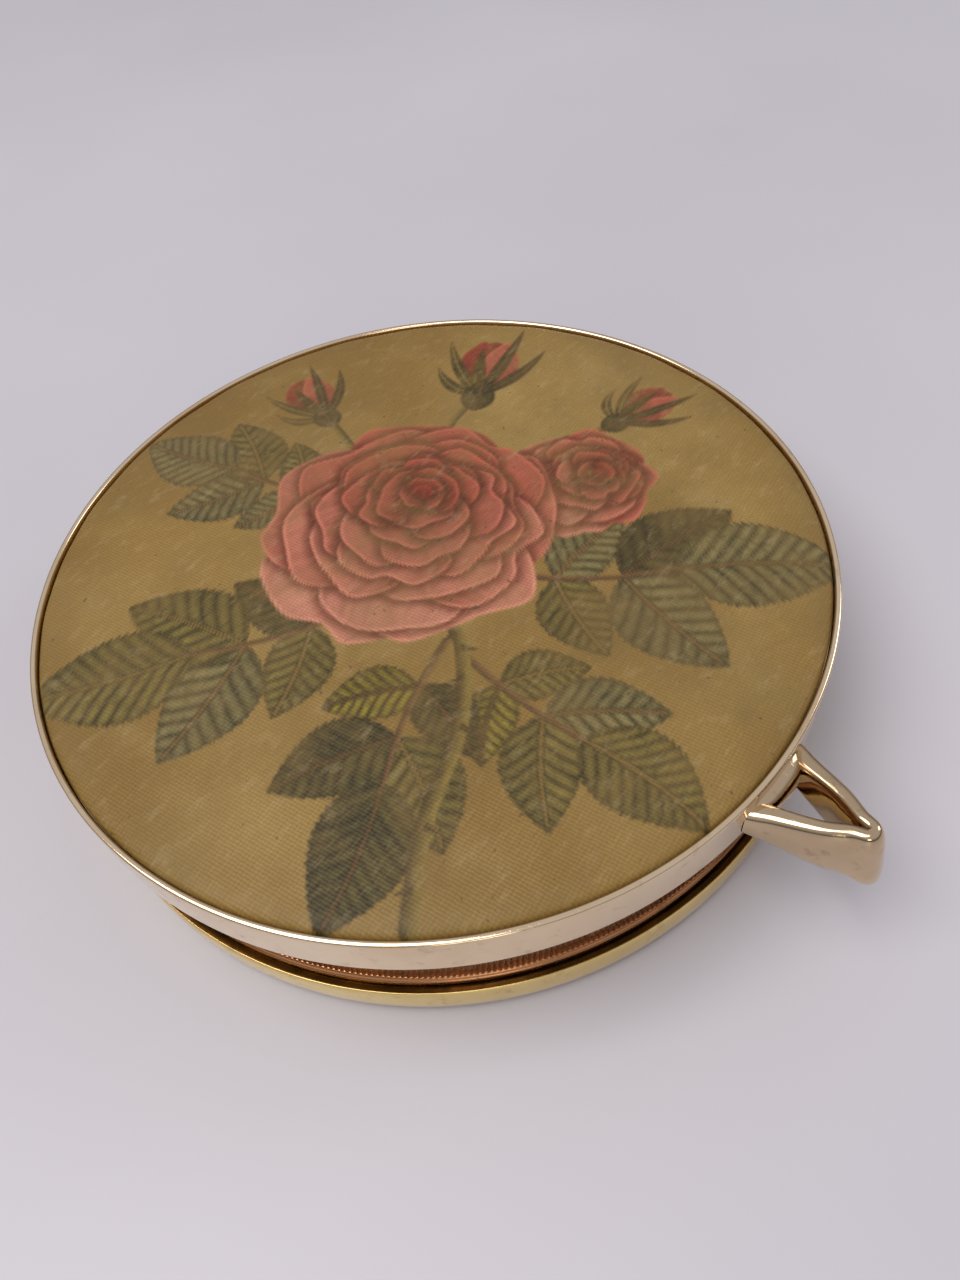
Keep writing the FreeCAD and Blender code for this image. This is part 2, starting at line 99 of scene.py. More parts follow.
def lathe(profile, steps, bend=None):
    """Points and faces of a closed profile of (r, z) points turned about Z, all at least 0 from it.

    bend(r, z, angle) may return a changed (r, z) for each point of the ring.
    """
    angles = np.linspace(0, 2 * np.pi, steps, endpoint=False)
    r = np.repeat(profile[:, 0][:, None], steps, axis=1)
    z = np.repeat(profile[:, 1][:, None], steps, axis=1)
    turn = np.repeat(angles[None, :], len(profile), axis=0)
    if bend:
        r, z = bend(r, z, turn)
    points = np.stack([r * np.cos(turn), r * np.sin(turn), z], axis=-1).reshape(-1, 3)
    faces = []
    rows = len(profile)
    for row in range(rows):
        after = (row + 1) % rows
        for step in range(steps):
            beside = (step + 1) % steps
            faces.append((row * steps + step, row * steps + beside,
                          after * steps + beside, after * steps + step))
    return points, faces


def disc_grid(count):
    """A square net of count x count cells mapped evenly onto the unit disc.

    Returns its points, its faces and the numbers of its border points, in order round the disc.
    """
    line = np.linspace(-1, 1, count + 1)
    across, up = np.meshgrid(line, line)
    wide = np.abs(across) > np.abs(up)
    reach = np.where(wide, across, up)
    with np.errstate(divide="ignore", invalid="ignore"):
        turn = np.where(wide, np.pi / 4 * up / across, np.pi / 2 - np.pi / 4 * across / up)
    turn = np.nan_to_num(turn)
    points = np.stack([reach * np.cos(turn), reach * np.sin(turn)], axis=-1).reshape(-1, 2)
    row = count + 1
    start = (np.arange(count)[:, None] * row + np.arange(count)[None, :]).ravel()
    faces = np.stack([start, start + 1, start + row + 1, start + row], axis=1).tolist()
    bottom = list(range(0, count))
    right = [count + row * step for step in range(count)]
    top = [row * count + count - step for step in range(count)]
    left = [row * (count - step) for step in range(count)]
    return points, faces, bottom + right + top + left


def shell_disc(fine, coarse, radius, top, wall, foot, under):
    """A thin domed cover: a fine top, a wall down to its foot, and a coarser underside.

    top and under give the height of each (x, y); wall lists (r, z) rings below the top's border.
    """
    ratio = fine // coarse
    net, faces, border = disc_grid(fine)
    net = net * radius
    points = [np.column_stack([net, top(net[:, 0], net[:, 1])])]
    total = len(net)
    ring = list(border)
    edge = net[border] / radius
    for r, z in wall:
        points.append(np.column_stack([edge * r, np.full(len(edge), z)]))
        lower = list(range(total, total + len(edge)))
        total += len(edge)
        faces += [(ring[i], lower[i], lower[(i + 1) % len(edge)], ring[(i + 1) % len(edge)])
                  for i in range(len(edge))]
        ring = lower
    inner_net, inner_faces, inner_border = disc_grid(coarse)
    inner = inner_net * foot
    points.append(np.column_stack([inner, under(inner[:, 0], inner[:, 1])]))
    faces += [tuple(total + corner for corner in reversed(face)) for face in inner_faces]
    count = len(inner_border)
    for i in range(count):
        outer = [ring[(ratio * i + step) % len(ring)] for step in range(ratio + 1)]
        here, beside = total + inner_border[i], total + inner_border[(i + 1) % count]
        faces.append(tuple([beside, *reversed(outer), here][::-1]))
    return np.vstack(points), faces


# ---------------------------------------------------------------- node tools


class Nodes:
    """A material with a Principled shader, and short ways to add nodes to it."""

    def __init__(self, name, material=None):
        self.material = material or bpy.data.materials.new(name)
        self.material.use_nodes = True
        self.tree = self.material.node_tree
        self.shader = self.tree.nodes["Principled BSDF"]
        self.place = self.add("ShaderNodeTexCoord").outputs["Object"]

    @classmethod
    def around(cls, material):
        """The same tools, for a material that is already made."""
        return cls(material.name, material)

    def add(self, kind, inputs=None, **settings):
        """A node with its settings and its inputs: each a value, or a socket to link from."""
        node = self.tree.nodes.new(kind)
        for key, value in settings.items():
            setattr(node, key, value)
        for key, value in (inputs or {}).items():
            if isinstance(value, bpy.types.NodeSocket):
                self.tree.links.new(value, node.inputs[key])
            else:
                node.inputs[key].default_value = value
        return node

    def noise(self, scale, detail=3.0, rough=0.55, place=None, distortion=0.0):
        """Noise from 0 to 1; scale is in bumps per metre."""
        return self.add("ShaderNodeTexNoise", {
            "Vector": place or self.place, "Scale": scale, "Detail": detail,
            "Roughness": rough, "Distortion": distortion}).outputs["Fac"]

    def stretch(self, scale, turn=(0, 0, 0)):
        """Object coordinates, scaled and turned."""
        return self.add("ShaderNodeMapping", {
            "Vector": self.place, "Scale": scale, "Rotation": turn}).outputs["Vector"]

    def math(self, operation, first, second=0.5, third=0.0):
        return self.add("ShaderNodeMath", {0: first, 1: second, 2: third},
                        operation=operation).outputs[0]

    def between(self, value, low, high, out_low=0.0, out_high=1.0):
        """The value carried from one range to another, clamped."""
        return self.add("ShaderNodeMapRange", {
            "Value": value, "From Min": low, "From Max": high,
            "To Min": out_low, "To Max": out_high}).outputs[0]

    def mix(self, share, first, second, blend="MIX"):
        """Two colours blended."""
        node = self.add("ShaderNodeMix", data_type="RGBA", blend_type=blend)
        for number, value in ((0, share), (6, first), (7, second)):
            if isinstance(value, bpy.types.NodeSocket):
                self.tree.links.new(value, node.inputs[number])
            else:
                node.inputs[number].default_value = value
        return node.outputs[2]

    def bump(self, height, distance, strength=1.0, below=None):
        inputs = {"Height": height, "Distance": distance, "Strength": strength}
        if below:
            inputs["Normal"] = below
        return self.add("ShaderNodeBump", inputs).outputs["Normal"]

    def finish(self, **inputs):
        """Set the shader's inputs, each a value or a socket, and give the material."""
        for key, value in inputs.items():
            name = key.replace("_", " ")
            if isinstance(value, bpy.types.NodeSocket):
                self.tree.links.new(value, self.shader.inputs[name])
            else:
                self.shader.inputs[name].default_value = value
        return self.material


def metal(name, colour, worn, rough_low, rough_high, scratch=0.4, brushed=None):
    """Polished metal with handling haze, fine scratches and dull spots."""
    n = Nodes(name)
    haze = n.noise(90.0, 4.0, 0.6)
    spots = n.between(n.noise(700.0, 4.0, 0.6), 0.58, 0.72)
    fine = n.noise(1.0, 3.0, 0.6, n.stretch((9000.0, 700.0, 2500.0), (0.3, 0.2, 0.7)))
    lines = n.between(fine, 0.6, 0.75)
    if brushed:
        lines = n.noise(1.0, 3.0, 0.6, n.stretch(brushed))
    tint = n.mix(n.between(haze, 0.35, 0.75), (*colour, 1), (*worn, 1))
    tint = n.mix(n.math("MULTIPLY", spots, 0.35), tint, (*[c * 0.45 for c in worn], 1))
    rough = n.between(haze, 0.3, 0.8, rough_low, rough_high)
    rough = n.math("ADD", rough, n.math("MULTIPLY", spots, 0.18))
    rough = n.math("ADD", rough, n.math("MULTIPLY", lines, 0.06 * scratch))
    swell = n.bump(n.noise(140.0, 2.0), 0.00004, 0.35)
    normal = n.bump(lines, 0.000005, scratch, swell)
    return n.finish(Base_Color=tint, Metallic=1.0, Roughness=rough, Normal=normal)


def cloth(name, colour, dark, pitch, turn, fuzz=0.3, rough=0.75, depth=0.00005):
    """Plain-woven or napped cloth; pitch is the thread spacing in metres."""
    n = Nodes(name)
    waves = []
    for quarter in (0.0, math.pi / 2):
        place = n.stretch((1.0, 1.0, 1.0), (0.0, 0.0, turn + quarter))
        waves.append(n.add("ShaderNodeTexWave", {
            "Vector": place, "Scale": math.pi / (10.0 * pitch), "Distortion": 1.5, "Detail": 2.0,
            "Detail Scale": 3.0}, wave_type="BANDS", bands_direction="X").outputs["Fac"])
    weave = n.math("MULTIPLY", waves[0], waves[1])
    mottle = n.noise(160.0, 4.0, 0.6)
    tint = n.mix(n.between(mottle, 0.3, 0.7), (*dark, 1), (*colour, 1))
    tint = n.mix(n.between(weave, 0.0, 0.5, 0.35, 0.0), tint, (*[c * 0.45 for c in dark], 1))
    nap = n.noise(6000.0, 2.0, 0.7)
    normal = n.bump(weave, depth, 0.8, n.bump(nap, depth, 0.4 + fuzz))
    return n.finish(Base_Color=tint, Roughness=n.between(mottle, 0.2, 0.8, rough - 0.06, rough + 0.08),
                    Sheen_Weight=fuzz, Sheen_Roughness=0.4, Specular_IOR_Level=0.3, Normal=normal)


# ---------------------------------------------------------------- printed spray
# The print is painted in numpy in millimetres on the flat panel, then stored as a colour on each vertex.

def rgb(red, green, blue):
    """A colour given as it looks on screen, turned into linear light."""
    screen = np.array([red, green, blue]) / 255.0
    return np.where(screen <= 0.04045, screen / 12.92, ((screen + 0.055) / 1.055) ** 2.4)


def smooth(low, high, value):
    """Soft step from 0 at low to 1 at high."""
    part = np.clip((value - low) / (high - low), 0.0, 1.0)
    return part * part * (3.0 - 2.0 * part)


def mix(first, second, share):
    """Blend two colours or two fields of colours by share."""
    share = np.asarray(share)[..., None]
    return first * (1.0 - share) + second * share


def hash_noise(cells_x, cells_y, seed):
    """A repeatable random number from 0 to 1 for each whole-numbered cell."""
    mixed = np.sin(cells_x * 127.1 + cells_y * 311.7 + seed * 74.7) * 43758.5453
    return mixed - np.floor(mixed)


def noise(x, y, seed=0.0):
    """Smooth value noise from 0 to 1, one bump per unit."""
    left, low = np.floor(x), np.floor(y)
    right_part, up_part = x - left, y - low
    right_part = right_part * right_part * (3 - 2 * right_part)
    up_part = up_part * up_part * (3 - 2 * up_part)
    bottom = (hash_noise(left, low, seed) * (1 - right_part)
              + hash_noise(left + 1, low, seed) * right_part)
    top = (hash_noise(left, low + 1, seed) * (1 - right_part)
           + hash_noise(left + 1, low + 1, seed) * right_part)
    return bottom * (1 - up_part) + top * up_part


def clouds(x, y, seed=0.0):
    """Three octaves of noise, from 0 to 1."""
    return (noise(x, y, seed) * 4 + noise(x * 2.1, y * 2.1, seed + 1) * 2
            + noise(x * 4.3, y * 4.3, seed + 2)) / 7.0


def curve_through(points, steps=8, closed=False):
    """Points along a smooth Catmull-Rom curve through the given ones."""
    given = np.array(points, float)
    count = len(given)
    found = []
    for index in range(count if closed else count - 1):
        if closed:
            a, b, c, d = (given[(index + shift) % count] for shift in (-1, 0, 1, 2))
        else:
            b, c = given[index], given[index + 1]
            a = given[index - 1] if index else 2 * b - c
            d = given[index + 2] if index + 2 < count else 2 * c - b
        for part in np.arange(steps) / steps:
            found.append(0.5 * (2 * b + (c - a) * part + (2 * a - 5 * b + 4 * c - d) * part ** 2
                                + (3 * b - a - 3 * c + d) * part ** 3))
    if not closed:
        found.append(given[-1])
    return np.array(found)


class Canvas:
    """The places to colour, in millimetres, and the colour laid on each so far."""

    def __init__(self, x, y):
        self.x = x
        self.y = y
        self.colour = np.zeros(x.shape + (3,))
        self.petal = np.zeros(x.shape)

    def near(self, low, high):
        """The numbers of the places inside a box."""
        inside = ((self.x > low[0]) & (self.x < high[0])
                  & (self.y > low[1]) & (self.y < high[1]))
        return np.nonzero(inside)[0]

    def lay(self, spots, colour, cover):
        """Paint colour over the spots, as thickly as cover says."""
        self.colour[spots] = mix(self.colour[spots], colour, np.clip(cover, 0.0, 1.0))


EDGE = 0.16          # softness of a printed edge


def distance_along(x, y, path):
    """For each place: distance to the path, signed side of it, and how far along it lies, 0 to 1."""
    best = np.full(x.shape, 1e9)
    side = np.zeros(x.shape)
    along = np.zeros(x.shape)
    lengths = np.hypot(*(path[1:] - path[:-1]).T)
    total = lengths.sum()
    done = 0.0
    for start, end, length in zip(path[:-1], path[1:], lengths):
        direction = (end - start) / max(length, 1e-9)
        across_x, across_y = x - start[0], y - start[1]
        forward = np.clip(across_x * direction[0] + across_y * direction[1], 0.0, length)
        off_x, off_y = across_x - forward * direction[0], across_y - forward * direction[1]
        far = np.hypot(off_x, off_y)
        nearer = far < best
        best = np.where(nearer, far, best)
        turn = direction[0] * across_y - direction[1] * across_x
        side = np.where(nearer, np.sign(turn), side)
        along = np.where(nearer, (done + forward) / total, along)
        done += length
    return best, side, along


def inside_outline(x, y, outline):
    """Signed distance to a closed outline, positive inside."""
    closed = np.vstack([outline, outline[:1]])
    far, _, along = distance_along(x, y, closed)
    crossings = np.zeros(x.shape, bool)
    for (ax, ay), (bx, by) in zip(closed[:-1], closed[1:]):
        if ay == by:
            continue
        spans = (ay > y) != (by > y)
        crossings ^= spans & (x < (bx - ax) * (y - ay) / (by - ay) + ax)
    return np.where(crossings, far, -far)


LEAF_TONES = {
    # dark ground, light between the veins, vein, midrib
    "olive": (rgb(62, 56, 22), rgb(124, 110, 52), rgb(34, 30, 10), rgb(124, 98, 46)),
    "bright": (rgb(62, 54, 14), rgb(148, 132, 40), rgb(34, 26, 6), rgb(70, 46, 18)),
    "grey": (rgb(66, 64, 38), rgb(132, 122, 78), rgb(36, 36, 20), rgb(116, 84, 46)),
    "dark": (rgb(34, 34, 16), rgb(78, 74, 36), rgb(20, 20, 8), rgb(88, 60, 30)),
}


def leaf(canvas, base, tip, width, bend=0.0, tone="olive", light_side=1, veins=8, lean=0.9,
         fullness=0.75, teeth=1.0, seed=0.0):
    """A toothed leaf with a midrib and side veins, from its base to its tip."""
    base, tip = np.array(base, float), np.array(tip, float)
    length = np.hypot(*(tip - base))
    reach = width + abs(bend) + 1.0
    low = np.minimum(base, tip) - reach
    spots = canvas.near(low, np.maximum(base, tip) + reach)
    if not len(spots):
        return
    ahead = (tip - base) / length
    x, y = canvas.x[spots] - base[0], canvas.y[spots] - base[1]
    along = (x * ahead[0] + y * ahead[1]) / length
    inner = np.clip(along, 0.0, 1.0)
    aside = -x * ahead[1] + y * ahead[0] - bend * 4 * inner * (1 - inner)
    off = np.abs(aside)
    half = 0.5 * width * np.sin(np.pi * inner ** fullness) ** 0.8
    # teeth point towards the tip
    saw = (along * length / 0.75 + 0.15 * np.sin(along * 9 + seed)) % 1.0
    half = half * (1 - 0.05 * teeth * saw) - 0.12 * teeth * saw * (half > 0.3)
    cover = smooth(-EDGE, EDGE, half - off) * (along > 0) * (along < 1)
    dark, light, vein, rib = LEAF_TONES[tone]
    # side veins leave the midrib forward and curve towards the tip
    slant = along - lean * off / length * (1 - 0.25 * off / (0.5 * width))
    wave = slant * veins + 0.12 * noise(x * 0.7, y * 0.7, seed)
    phase = wave % 1.0
    between = smooth(0.0, 0.45, phase) * smooth(1.0, 0.55, phase)
    lit = np.where(aside * light_side > 0, 1.0, 0.45)
    rim = smooth(0.0, 0.9, half - off)
    strength = between * (0.35 + 0.65 * lit) * (0.55 + 0.45 * rim)
    strength *= 0.65 + 0.7 * clouds(x * 0.9, y * 0.9, seed + 5) - 0.15
    colour = mix(dark, light, np.clip(strength, 0, 1))
    line = smooth(0.14, 0.0, np.minimum(phase, 1 - phase)) * smooth(0.1, 0.6, off) * 0.85
    colour = mix(colour, vein, line)
    netting = smooth(0.62, 0.8, noise(x * 3.2, y * 3.2, seed + 9)) * 0.35
    colour = mix(colour, vein, netting)
    colour = mix(colour, vein, smooth(0.45, 0.05, half - off) * 0.55)
    colour = mix(colour, vein, smooth(0.42, 0.2, off) * (inner < 0.97) * 0.8)
    colour = mix(colour, rib, smooth(0.2, 0.08, off) * (inner < 0.95) * 0.8)
    canvas.lay(spots, colour, cover)


def stem(canvas, points, start_width, end_width, dark, light, thorns=0, seed=0.0):
    """A round stem along a curve, lit along one side, with thorns."""
    path = curve_through(points)
    reach = max(start_width, end_width) + 1.2
    spots = canvas.near(path.min(0) - reach, path.max(0) + reach)
    if not len(spots):
        return
    x, y = canvas.x[spots], canvas.y[spots]
    far, side, along = distance_along(x, y, path)
    half = 0.5 * (start_width + (end_width - start_width) * along)
    across = np.clip(far * side / np.maximum(half, 0.05), -1.0, 1.0)
    shade = smooth(-1.0, 0.9, across) * (0.75 + 0.4 * noise(x * 2, y * 2, seed))
    colour = mix(dark, light, np.clip(shade, 0, 1))
    canvas.lay(spots, colour, smooth(-EDGE * 0.8, EDGE * 0.8, half - far))
    for number in range(thorns):
        place = (number + 0.6) / thorns
        index = int(place * (len(path) - 2))
        ahead = path[index + 1] - path[index]
        ahead /= np.hypot(*ahead)
        out = np.array([-ahead[1], ahead[0]]) * (1 if number % 2 else -1)
        foot = path[index]
        end = foot + out * 1.5 + ahead * 0.5
        thorn = [foot - ahead * 0.45, foot + ahead * 0.45, end]
        depth = inside_outline(x, y, np.array(thorn))
        canvas.lay(spots, dark, smooth(-0.08, 0.1, depth))


def petal(canvas, outline, deep, pale, towards, rim=0.5, shadow=0.8, streaks=0.25, seed=0.0,
          deep_share=1.0):
    """A petal: deep colour at its hidden end, pale towards the given direction, light thin rim."""
    path = curve_through(outline, closed=True)
    middle = path.mean(0)
    spots = canvas.near(path.min(0) - 1.6, path.max(0) + 1.6)
    if not len(spots):
        return
    x, y = canvas.x[spots], canvas.y[spots]
    depth = inside_outline(x, y, path)
    # a soft shadow falls on what lies beneath
    fall = smooth(-1.3, 0.0, depth) * shadow * 0.55
    canvas.lay(spots, deep * 0.55, np.where(depth < 0, fall * (canvas.petal[spots]), 0))
    ahead = np.array(towards, float) / np.hypot(*towards)
    span = (path - middle) @ ahead
    along = ((x - middle[0]) * ahead[0] + (y - middle[1]) * ahead[1] - span.min()) / np.ptp(span)
    aside = -(x - middle[0]) * ahead[1] + (y - middle[1]) * ahead[0]
    fade = smooth(0.0, 1.0, along + 0.25 * (clouds(x * 0.35, y * 0.35, seed) - 0.5))
    colour = mix(deep * deep_share + pale * (1 - deep_share), pale, fade)
    grain = noise(aside * 2.2 + 3 * noise(x * 0.3, y * 0.3, seed), along * 2.5, seed + 3)
    colour = mix(colour, deep, smooth(0.45, 0.95, grain) * streaks * (1.15 - fade))
    colour = mix(colour, np.minimum(pale * 1.25, 1.0), smooth(0.3, 0.75, 1 - grain) * streaks * 0.5)
    inner_dark = smooth(2.2, 0.3, depth) * 0.18
    colour = mix(colour, deep, inner_dark)
    colour = mix(colour, np.minimum(pale * 1.35, 1.0), smooth(0.42, 0.12, depth) * rim * fade)
    canvas.lay(spots, colour, smooth(-EDGE, EDGE, depth))
    canvas.petal[spots] = np.maximum(canvas.petal[spots], smooth(-EDGE, EDGE, depth))


ROSE_DEEP, ROSE_RED = rgb(88, 14, 16), rgb(138, 42, 36)
ROSE_PINK, ROSE_PALE, ROSE_ORANGE = rgb(176, 88, 72), rgb(210, 146, 122), rgb(190, 104, 60)
STEM_DARK, STEM_LIGHT = rgb(54, 42, 18), rgb(132, 112, 52)
TWIG_DARK, TWIG_LIGHT = rgb(58, 40, 24), rgb(116, 80, 50)


def polar(centre, degrees, reach):
    """The point at a bearing and a distance from a centre."""
    angle = np.radians(degrees)
    return np.array(centre, float) + reach * np.array([np.cos(angle), np.sin(angle)])


def paint_ground(canvas):
    """Antique gold cloth, uneven, and browner towards the edge."""
    x, y = canvas.x, canvas.y
    colour = mix(rgb(134, 104, 50), rgb(156, 127, 70), smooth(0.25, 0.75, clouds(x * 0.07, y * 0.07, 2.0)))
    colour = mix(colour, rgb(136, 102, 44), smooth(0.4, 0.9, clouds(x * 0.05, y * 0.05, 5.0)) * 0.6)
    colour = mix(colour, rgb(176, 150, 96), smooth(0.5, 0.9, clouds(x * 0.2, y * 0.2, 8.0)) * 0.3)
    canvas.colour[:] = mix(colour, rgb(122, 92, 36), smooth(27.0, 36.0, np.hypot(x, y)) * 0.45)


def paint_rose(canvas, centre, radius, lean, rings, seed):
    """An open rose: rings of petals, each ring smaller and nearer the side that it leans to."""
    turn = seed * 40.0
    for ring in range(rings):
        share = ring / rings
        reach = radius * (1.0 - share) ** 0.9
        heart = polar(centre, lean, radius * 0.36 * share)
        count = 5 if share < 0.7 else 3
        turn += 33.0
        depth = 0.18 + 0.75 * share
        for number in range(count):
            chance = float(hash_noise(number * 3.0 + ring, seed * 5.0, 7.0))
            bearing = turn + 360.0 / count * (number * 2 % count) + 16.0 * (chance - 0.5)
            away = 0.5 - 0.5 * np.cos(np.radians(bearing - lean))
            spread = 250.0 / count
            shape = [polar(heart, bearing + spread * part, reach * edge) for part, edge in (
                (-1.0, 0.72), (-0.62, 0.96), (-0.2, 1.0), (0.12, 0.95), (0.5, 1.01), (0.95, 0.76))]
            shape += [polar(heart, bearing + 18, reach * 0.32), polar(heart, bearing - 18, reach * 0.3)]
            shape = np.array(shape) + 0.045 * reach * np.sin(np.arange(16).reshape(8, 2) * 2.1 + number + ring)
            shape = heart + (shape - heart) * (0.9 + 0.16 * chance)
            pale = ROSE_PALE * away + ROSE_PINK * (1 - away)
            pale = pale * (1 - depth) + ROSE_RED * depth
            pale = pale * (0.86 + 0.24 * chance) + ROSE_ORANGE * 0.16 * (1 - chance)
            deep = ROSE_RED * (1 - depth) + ROSE_DEEP * depth
            petal(canvas, shape, deep, pale, polar((0, 0), bearing, 1.0), rim=0.8, shadow=1.5,
                  streaks=0.5, seed=seed * 100 + ring * 10 + number)
    heart = polar(centre, lean, radius * 0.36 * (rings - 1) / rings)
    closed = [polar(heart, 60 * corner, radius * 0.075) for corner in range(6)]
    petal(canvas, closed, ROSE_DEEP, ROSE_RED, polar((0, 0), lean, 1.0), streaks=0.3, seed=seed * 100 + 99)


def sepal(canvas, base, bearing, length, width, bend=0.3, tone="olive"):
    """A narrow pointed leaf without teeth."""
    leaf(canvas, base, polar(base, bearing, length), width, bend, tone, veins=2, teeth=0.0)


def paint_bud(canvas, hip, bearing, length, seed):
    """A closed bud: three petals wrapped over each other, held by long sepals above a green hip."""
    for number, (side, deep, pale) in enumerate((
            (0.0, ROSE_DEEP, ROSE_RED), (0.22, ROSE_DEEP, ROSE_RED), (-0.2, ROSE_RED, ROSE_PINK))):
        wide = length * (0.36 if number == 0 else 0.22)
        middle = polar(hip, bearing + 90, side * length * 0.7)
        shape = [polar(middle, bearing, 0.1 * length)]
        for reach, half in ((0.4, 0.9), (0.75, 1.0), (0.95, 0.55)):
            shape.append(polar(polar(middle, bearing, reach * length), bearing + 90, wide * half))
        shape.append(polar(middle, bearing, 1.08 * length))
        for reach, half in ((0.95, 0.5), (0.75, 0.95), (0.4, 0.9)):
            shape.append(polar(polar(middle, bearing, reach * length), bearing - 90, wide * half))
        petal(canvas, shape, deep, pale, polar((0, 0), bearing + 40, 1.0), streaks=0.5, shadow=0.6,
              seed=seed + number)
    for number, (angle, reach) in enumerate(((-34, 1.15), (30, 1.2), (-12, 1.4), (9, 0.95), (52, 0.8))):
        sepal(canvas, hip, bearing + angle, length * reach, length * 0.17, 0.06 * angle / 3,
              ("dark", "olive", "dark", "bright", "olive")[number])
    sepal(canvas, polar(hip, bearing, -0.3 * length), bearing, length * 0.62, length * 0.42, 0.0, "dark")


def paint_spray_leaf(canvas, foot, bearing, length, curl, tones, seed):
    """A rose leaf: a curved stalk with two pairs of toothed leaflets and one at its end."""
    stalk = [polar(foot, bearing + curl * part, length * part) for part in (0.0, 0.34, 0.68, 0.95)]
    for number, (place, side) in enumerate(((1, 1), (1, -1), (2, 1), (2, -1))):
        size = length * (0.56 if place == 1 else 0.74)
        out = bearing + curl * 0.6 + side * (68 - 12 * place)
        leaf(canvas, stalk[place], polar(stalk[place], out, size), size * 0.68, 0.4 * side,
             tones[number % len(tones)], light_side=-side, veins=8, seed=seed + number)
    size = length * 0.86
    leaf(canvas, stalk[3], polar(stalk[3], bearing + curl, size), size * 0.68, 0.5, tones[0],
         light_side=1, veins=10, seed=seed + 7)
    stem(canvas, stalk, 0.75, 0.45, TWIG_DARK, TWIG_LIGHT, seed=seed)


def paint_spray(canvas):
    """A plain rose spray of the maker's own arrangement, from the ground up."""
    paint_ground(canvas)
    middle = (-1.0, 3.5)
    fork = (2.0, -12.0)
    paint_spray_leaf(canvas, (5.5, -3.5), -26, 17.0, 16, ("grey", "olive", "dark"), 1)
    paint_spray_leaf(canvas, (-5.0, -5.0), -160, 17.0, -12, ("olive", "dark", "grey"), 2)
    paint_spray_leaf(canvas, fork, -58, 13.5, 8, ("olive", "bright", "grey"), 3)
    paint_spray_leaf(canvas, (0.8, -10.5), -126, 14.5, 10, ("dark", "bright", "olive"), 4)
    paint_spray_leaf(canvas, (-7.0, 8.5), 158, 13.5, -12, ("grey", "olive"), 5)
    stem(canvas, [(-1.5, 0.0), (1.2, -8.0), fork, (1.0, -19.0), (-2.6, -27.0), (-4.4, -34.5)],
         1.1, 1.5, STEM_DARK, STEM_LIGHT, thorns=9, seed=3)
    for tip, bearing, length, seed in (((7.5, 21.0), 70, 8.5, 40), ((-8.5, 21.5), 112, 6.8, 50),
                                       ((20.5, 13.5), 28, 6.4, 60)):
        stem(canvas, [middle, polar(middle, bearing, 13.0), tip], 1.0, 0.8, STEM_DARK, STEM_LIGHT, seed=seed)
        paint_bud(canvas, np.array(tip), bearing, length, seed)
    paint_rose(canvas, (15.0, 6.0), 7.2, 20, 5, 2)
    paint_rose(canvas, middle, 14.0, 72, 8, 1)
    worn = smooth(0.4, 0.9, clouds(canvas.x * 0.5, canvas.y * 0.5, 21.0))
    canvas.colour = mix(canvas.colour, rgb(160, 130, 64), 0.03 + 0.10 * worn)


# ---------------------------------------------------------------- materials

GOLD = metal("polished_gold", (0.84, 0.63, 0.33), (0.72, 0.50, 0.22), 0.06, 0.18)
RIM_GOLD = metal("rim_gold", (0.86, 0.69, 0.47), (0.72, 0.52, 0.30), 0.06, 0.18)
# painted reflection: the loop's gold is a darker copy, standing in for the dark surroundings reflected in its faces
LOOP_GOLD_PAINTED_REFLECTION = metal("loop_gold", (0.66, 0.51, 0.33), (0.47, 0.33, 0.19), 0.05, 0.16)
# painted shade and painted reflection: the waist's gold is darkened to red-brown for its deep recess under the lid
WAIST_GOLD_SHADED = metal("waist_gold", (0.50, 0.235, 0.10), (0.32, 0.14, 0.06), 0.2, 0.34)
PAN_GOLD = metal("pan_gold", (0.78, 0.60, 0.32), (0.66, 0.47, 0.22), 0.2, 0.34, 1.0, (30.0, 9000.0, 9000.0))
STEEL = metal("pin_steel", (0.56, 0.55, 0.54), (0.4, 0.38, 0.36), 0.18, 0.3)
BRONZE = metal("spring_bronze", (0.66, 0.42, 0.22), (0.5, 0.3, 0.16), 0.22, 0.36)


def foot_gold_with_painted_shade():
    """Satin gold of the foot, with green-brown painted shade and painted reflection gathered in the cove below the
    waist.
    """
    material = metal("foot_gold", (0.86, 0.67, 0.28), (0.72, 0.51, 0.17), 0.12, 0.24)
    tree = material.node_tree
    shader = tree.nodes["Principled BSDF"]
    tint = shader.inputs["Base Color"].links[0].from_socket
    n = Nodes.around(material)
    axes = n.add("ShaderNodeSeparateXYZ", {0: n.place})
    far = n.math("SQRT", n.math("ADD", n.math("MULTIPLY", axes.outputs["X"], axes.outputs["X"]),
                                n.math("MULTIPLY", axes.outputs["Y"], axes.outputs["Y"])))
    # painted shade and painted reflection: the ledge and cove under the lid's skirt are darkened to green-brown
    groove = n.math("MULTIPLY", n.between(far, 0.03553, 0.03538), n.between(axes.outputs["Z"], 0.0038, 0.0040))
    uneven = n.between(n.noise(260.0, 4.0, 0.6), 0.25, 0.6, 0.72, 0.97)
    return n.finish(Base_Color=n.mix(n.math("MULTIPLY", groove, uneven), tint, (0.075, 0.07, 0.03, 1)))


def mirror_glass():
    """Silvered glass with a faint film of powder dust."""
    n = Nodes("mirror_glass")
    dust = n.between(n.noise(2500.0, 3.0, 0.6), 0.62, 0.74)
    smear = n.between(n.noise(1.0, 3.0, 0.6, n.stretch((60.0, 320.0, 60.0))), 0.45, 0.8)
    tint = n.mix(n.math("MULTIPLY", dust, 0.2), (0.90, 0.91, 0.91, 1), (0.80, 0.70, 0.62, 1))
    rough = n.math("ADD", n.between(smear, 0.0, 1.0, 0.015, 0.06), n.math("MULTIPLY", dust, 0.2))
    return n.finish(Base_Color=tint, Metallic=1.0, Roughness=rough,
                    Normal=n.bump(n.noise(60.0, 1.0), 0.00002, 0.15))


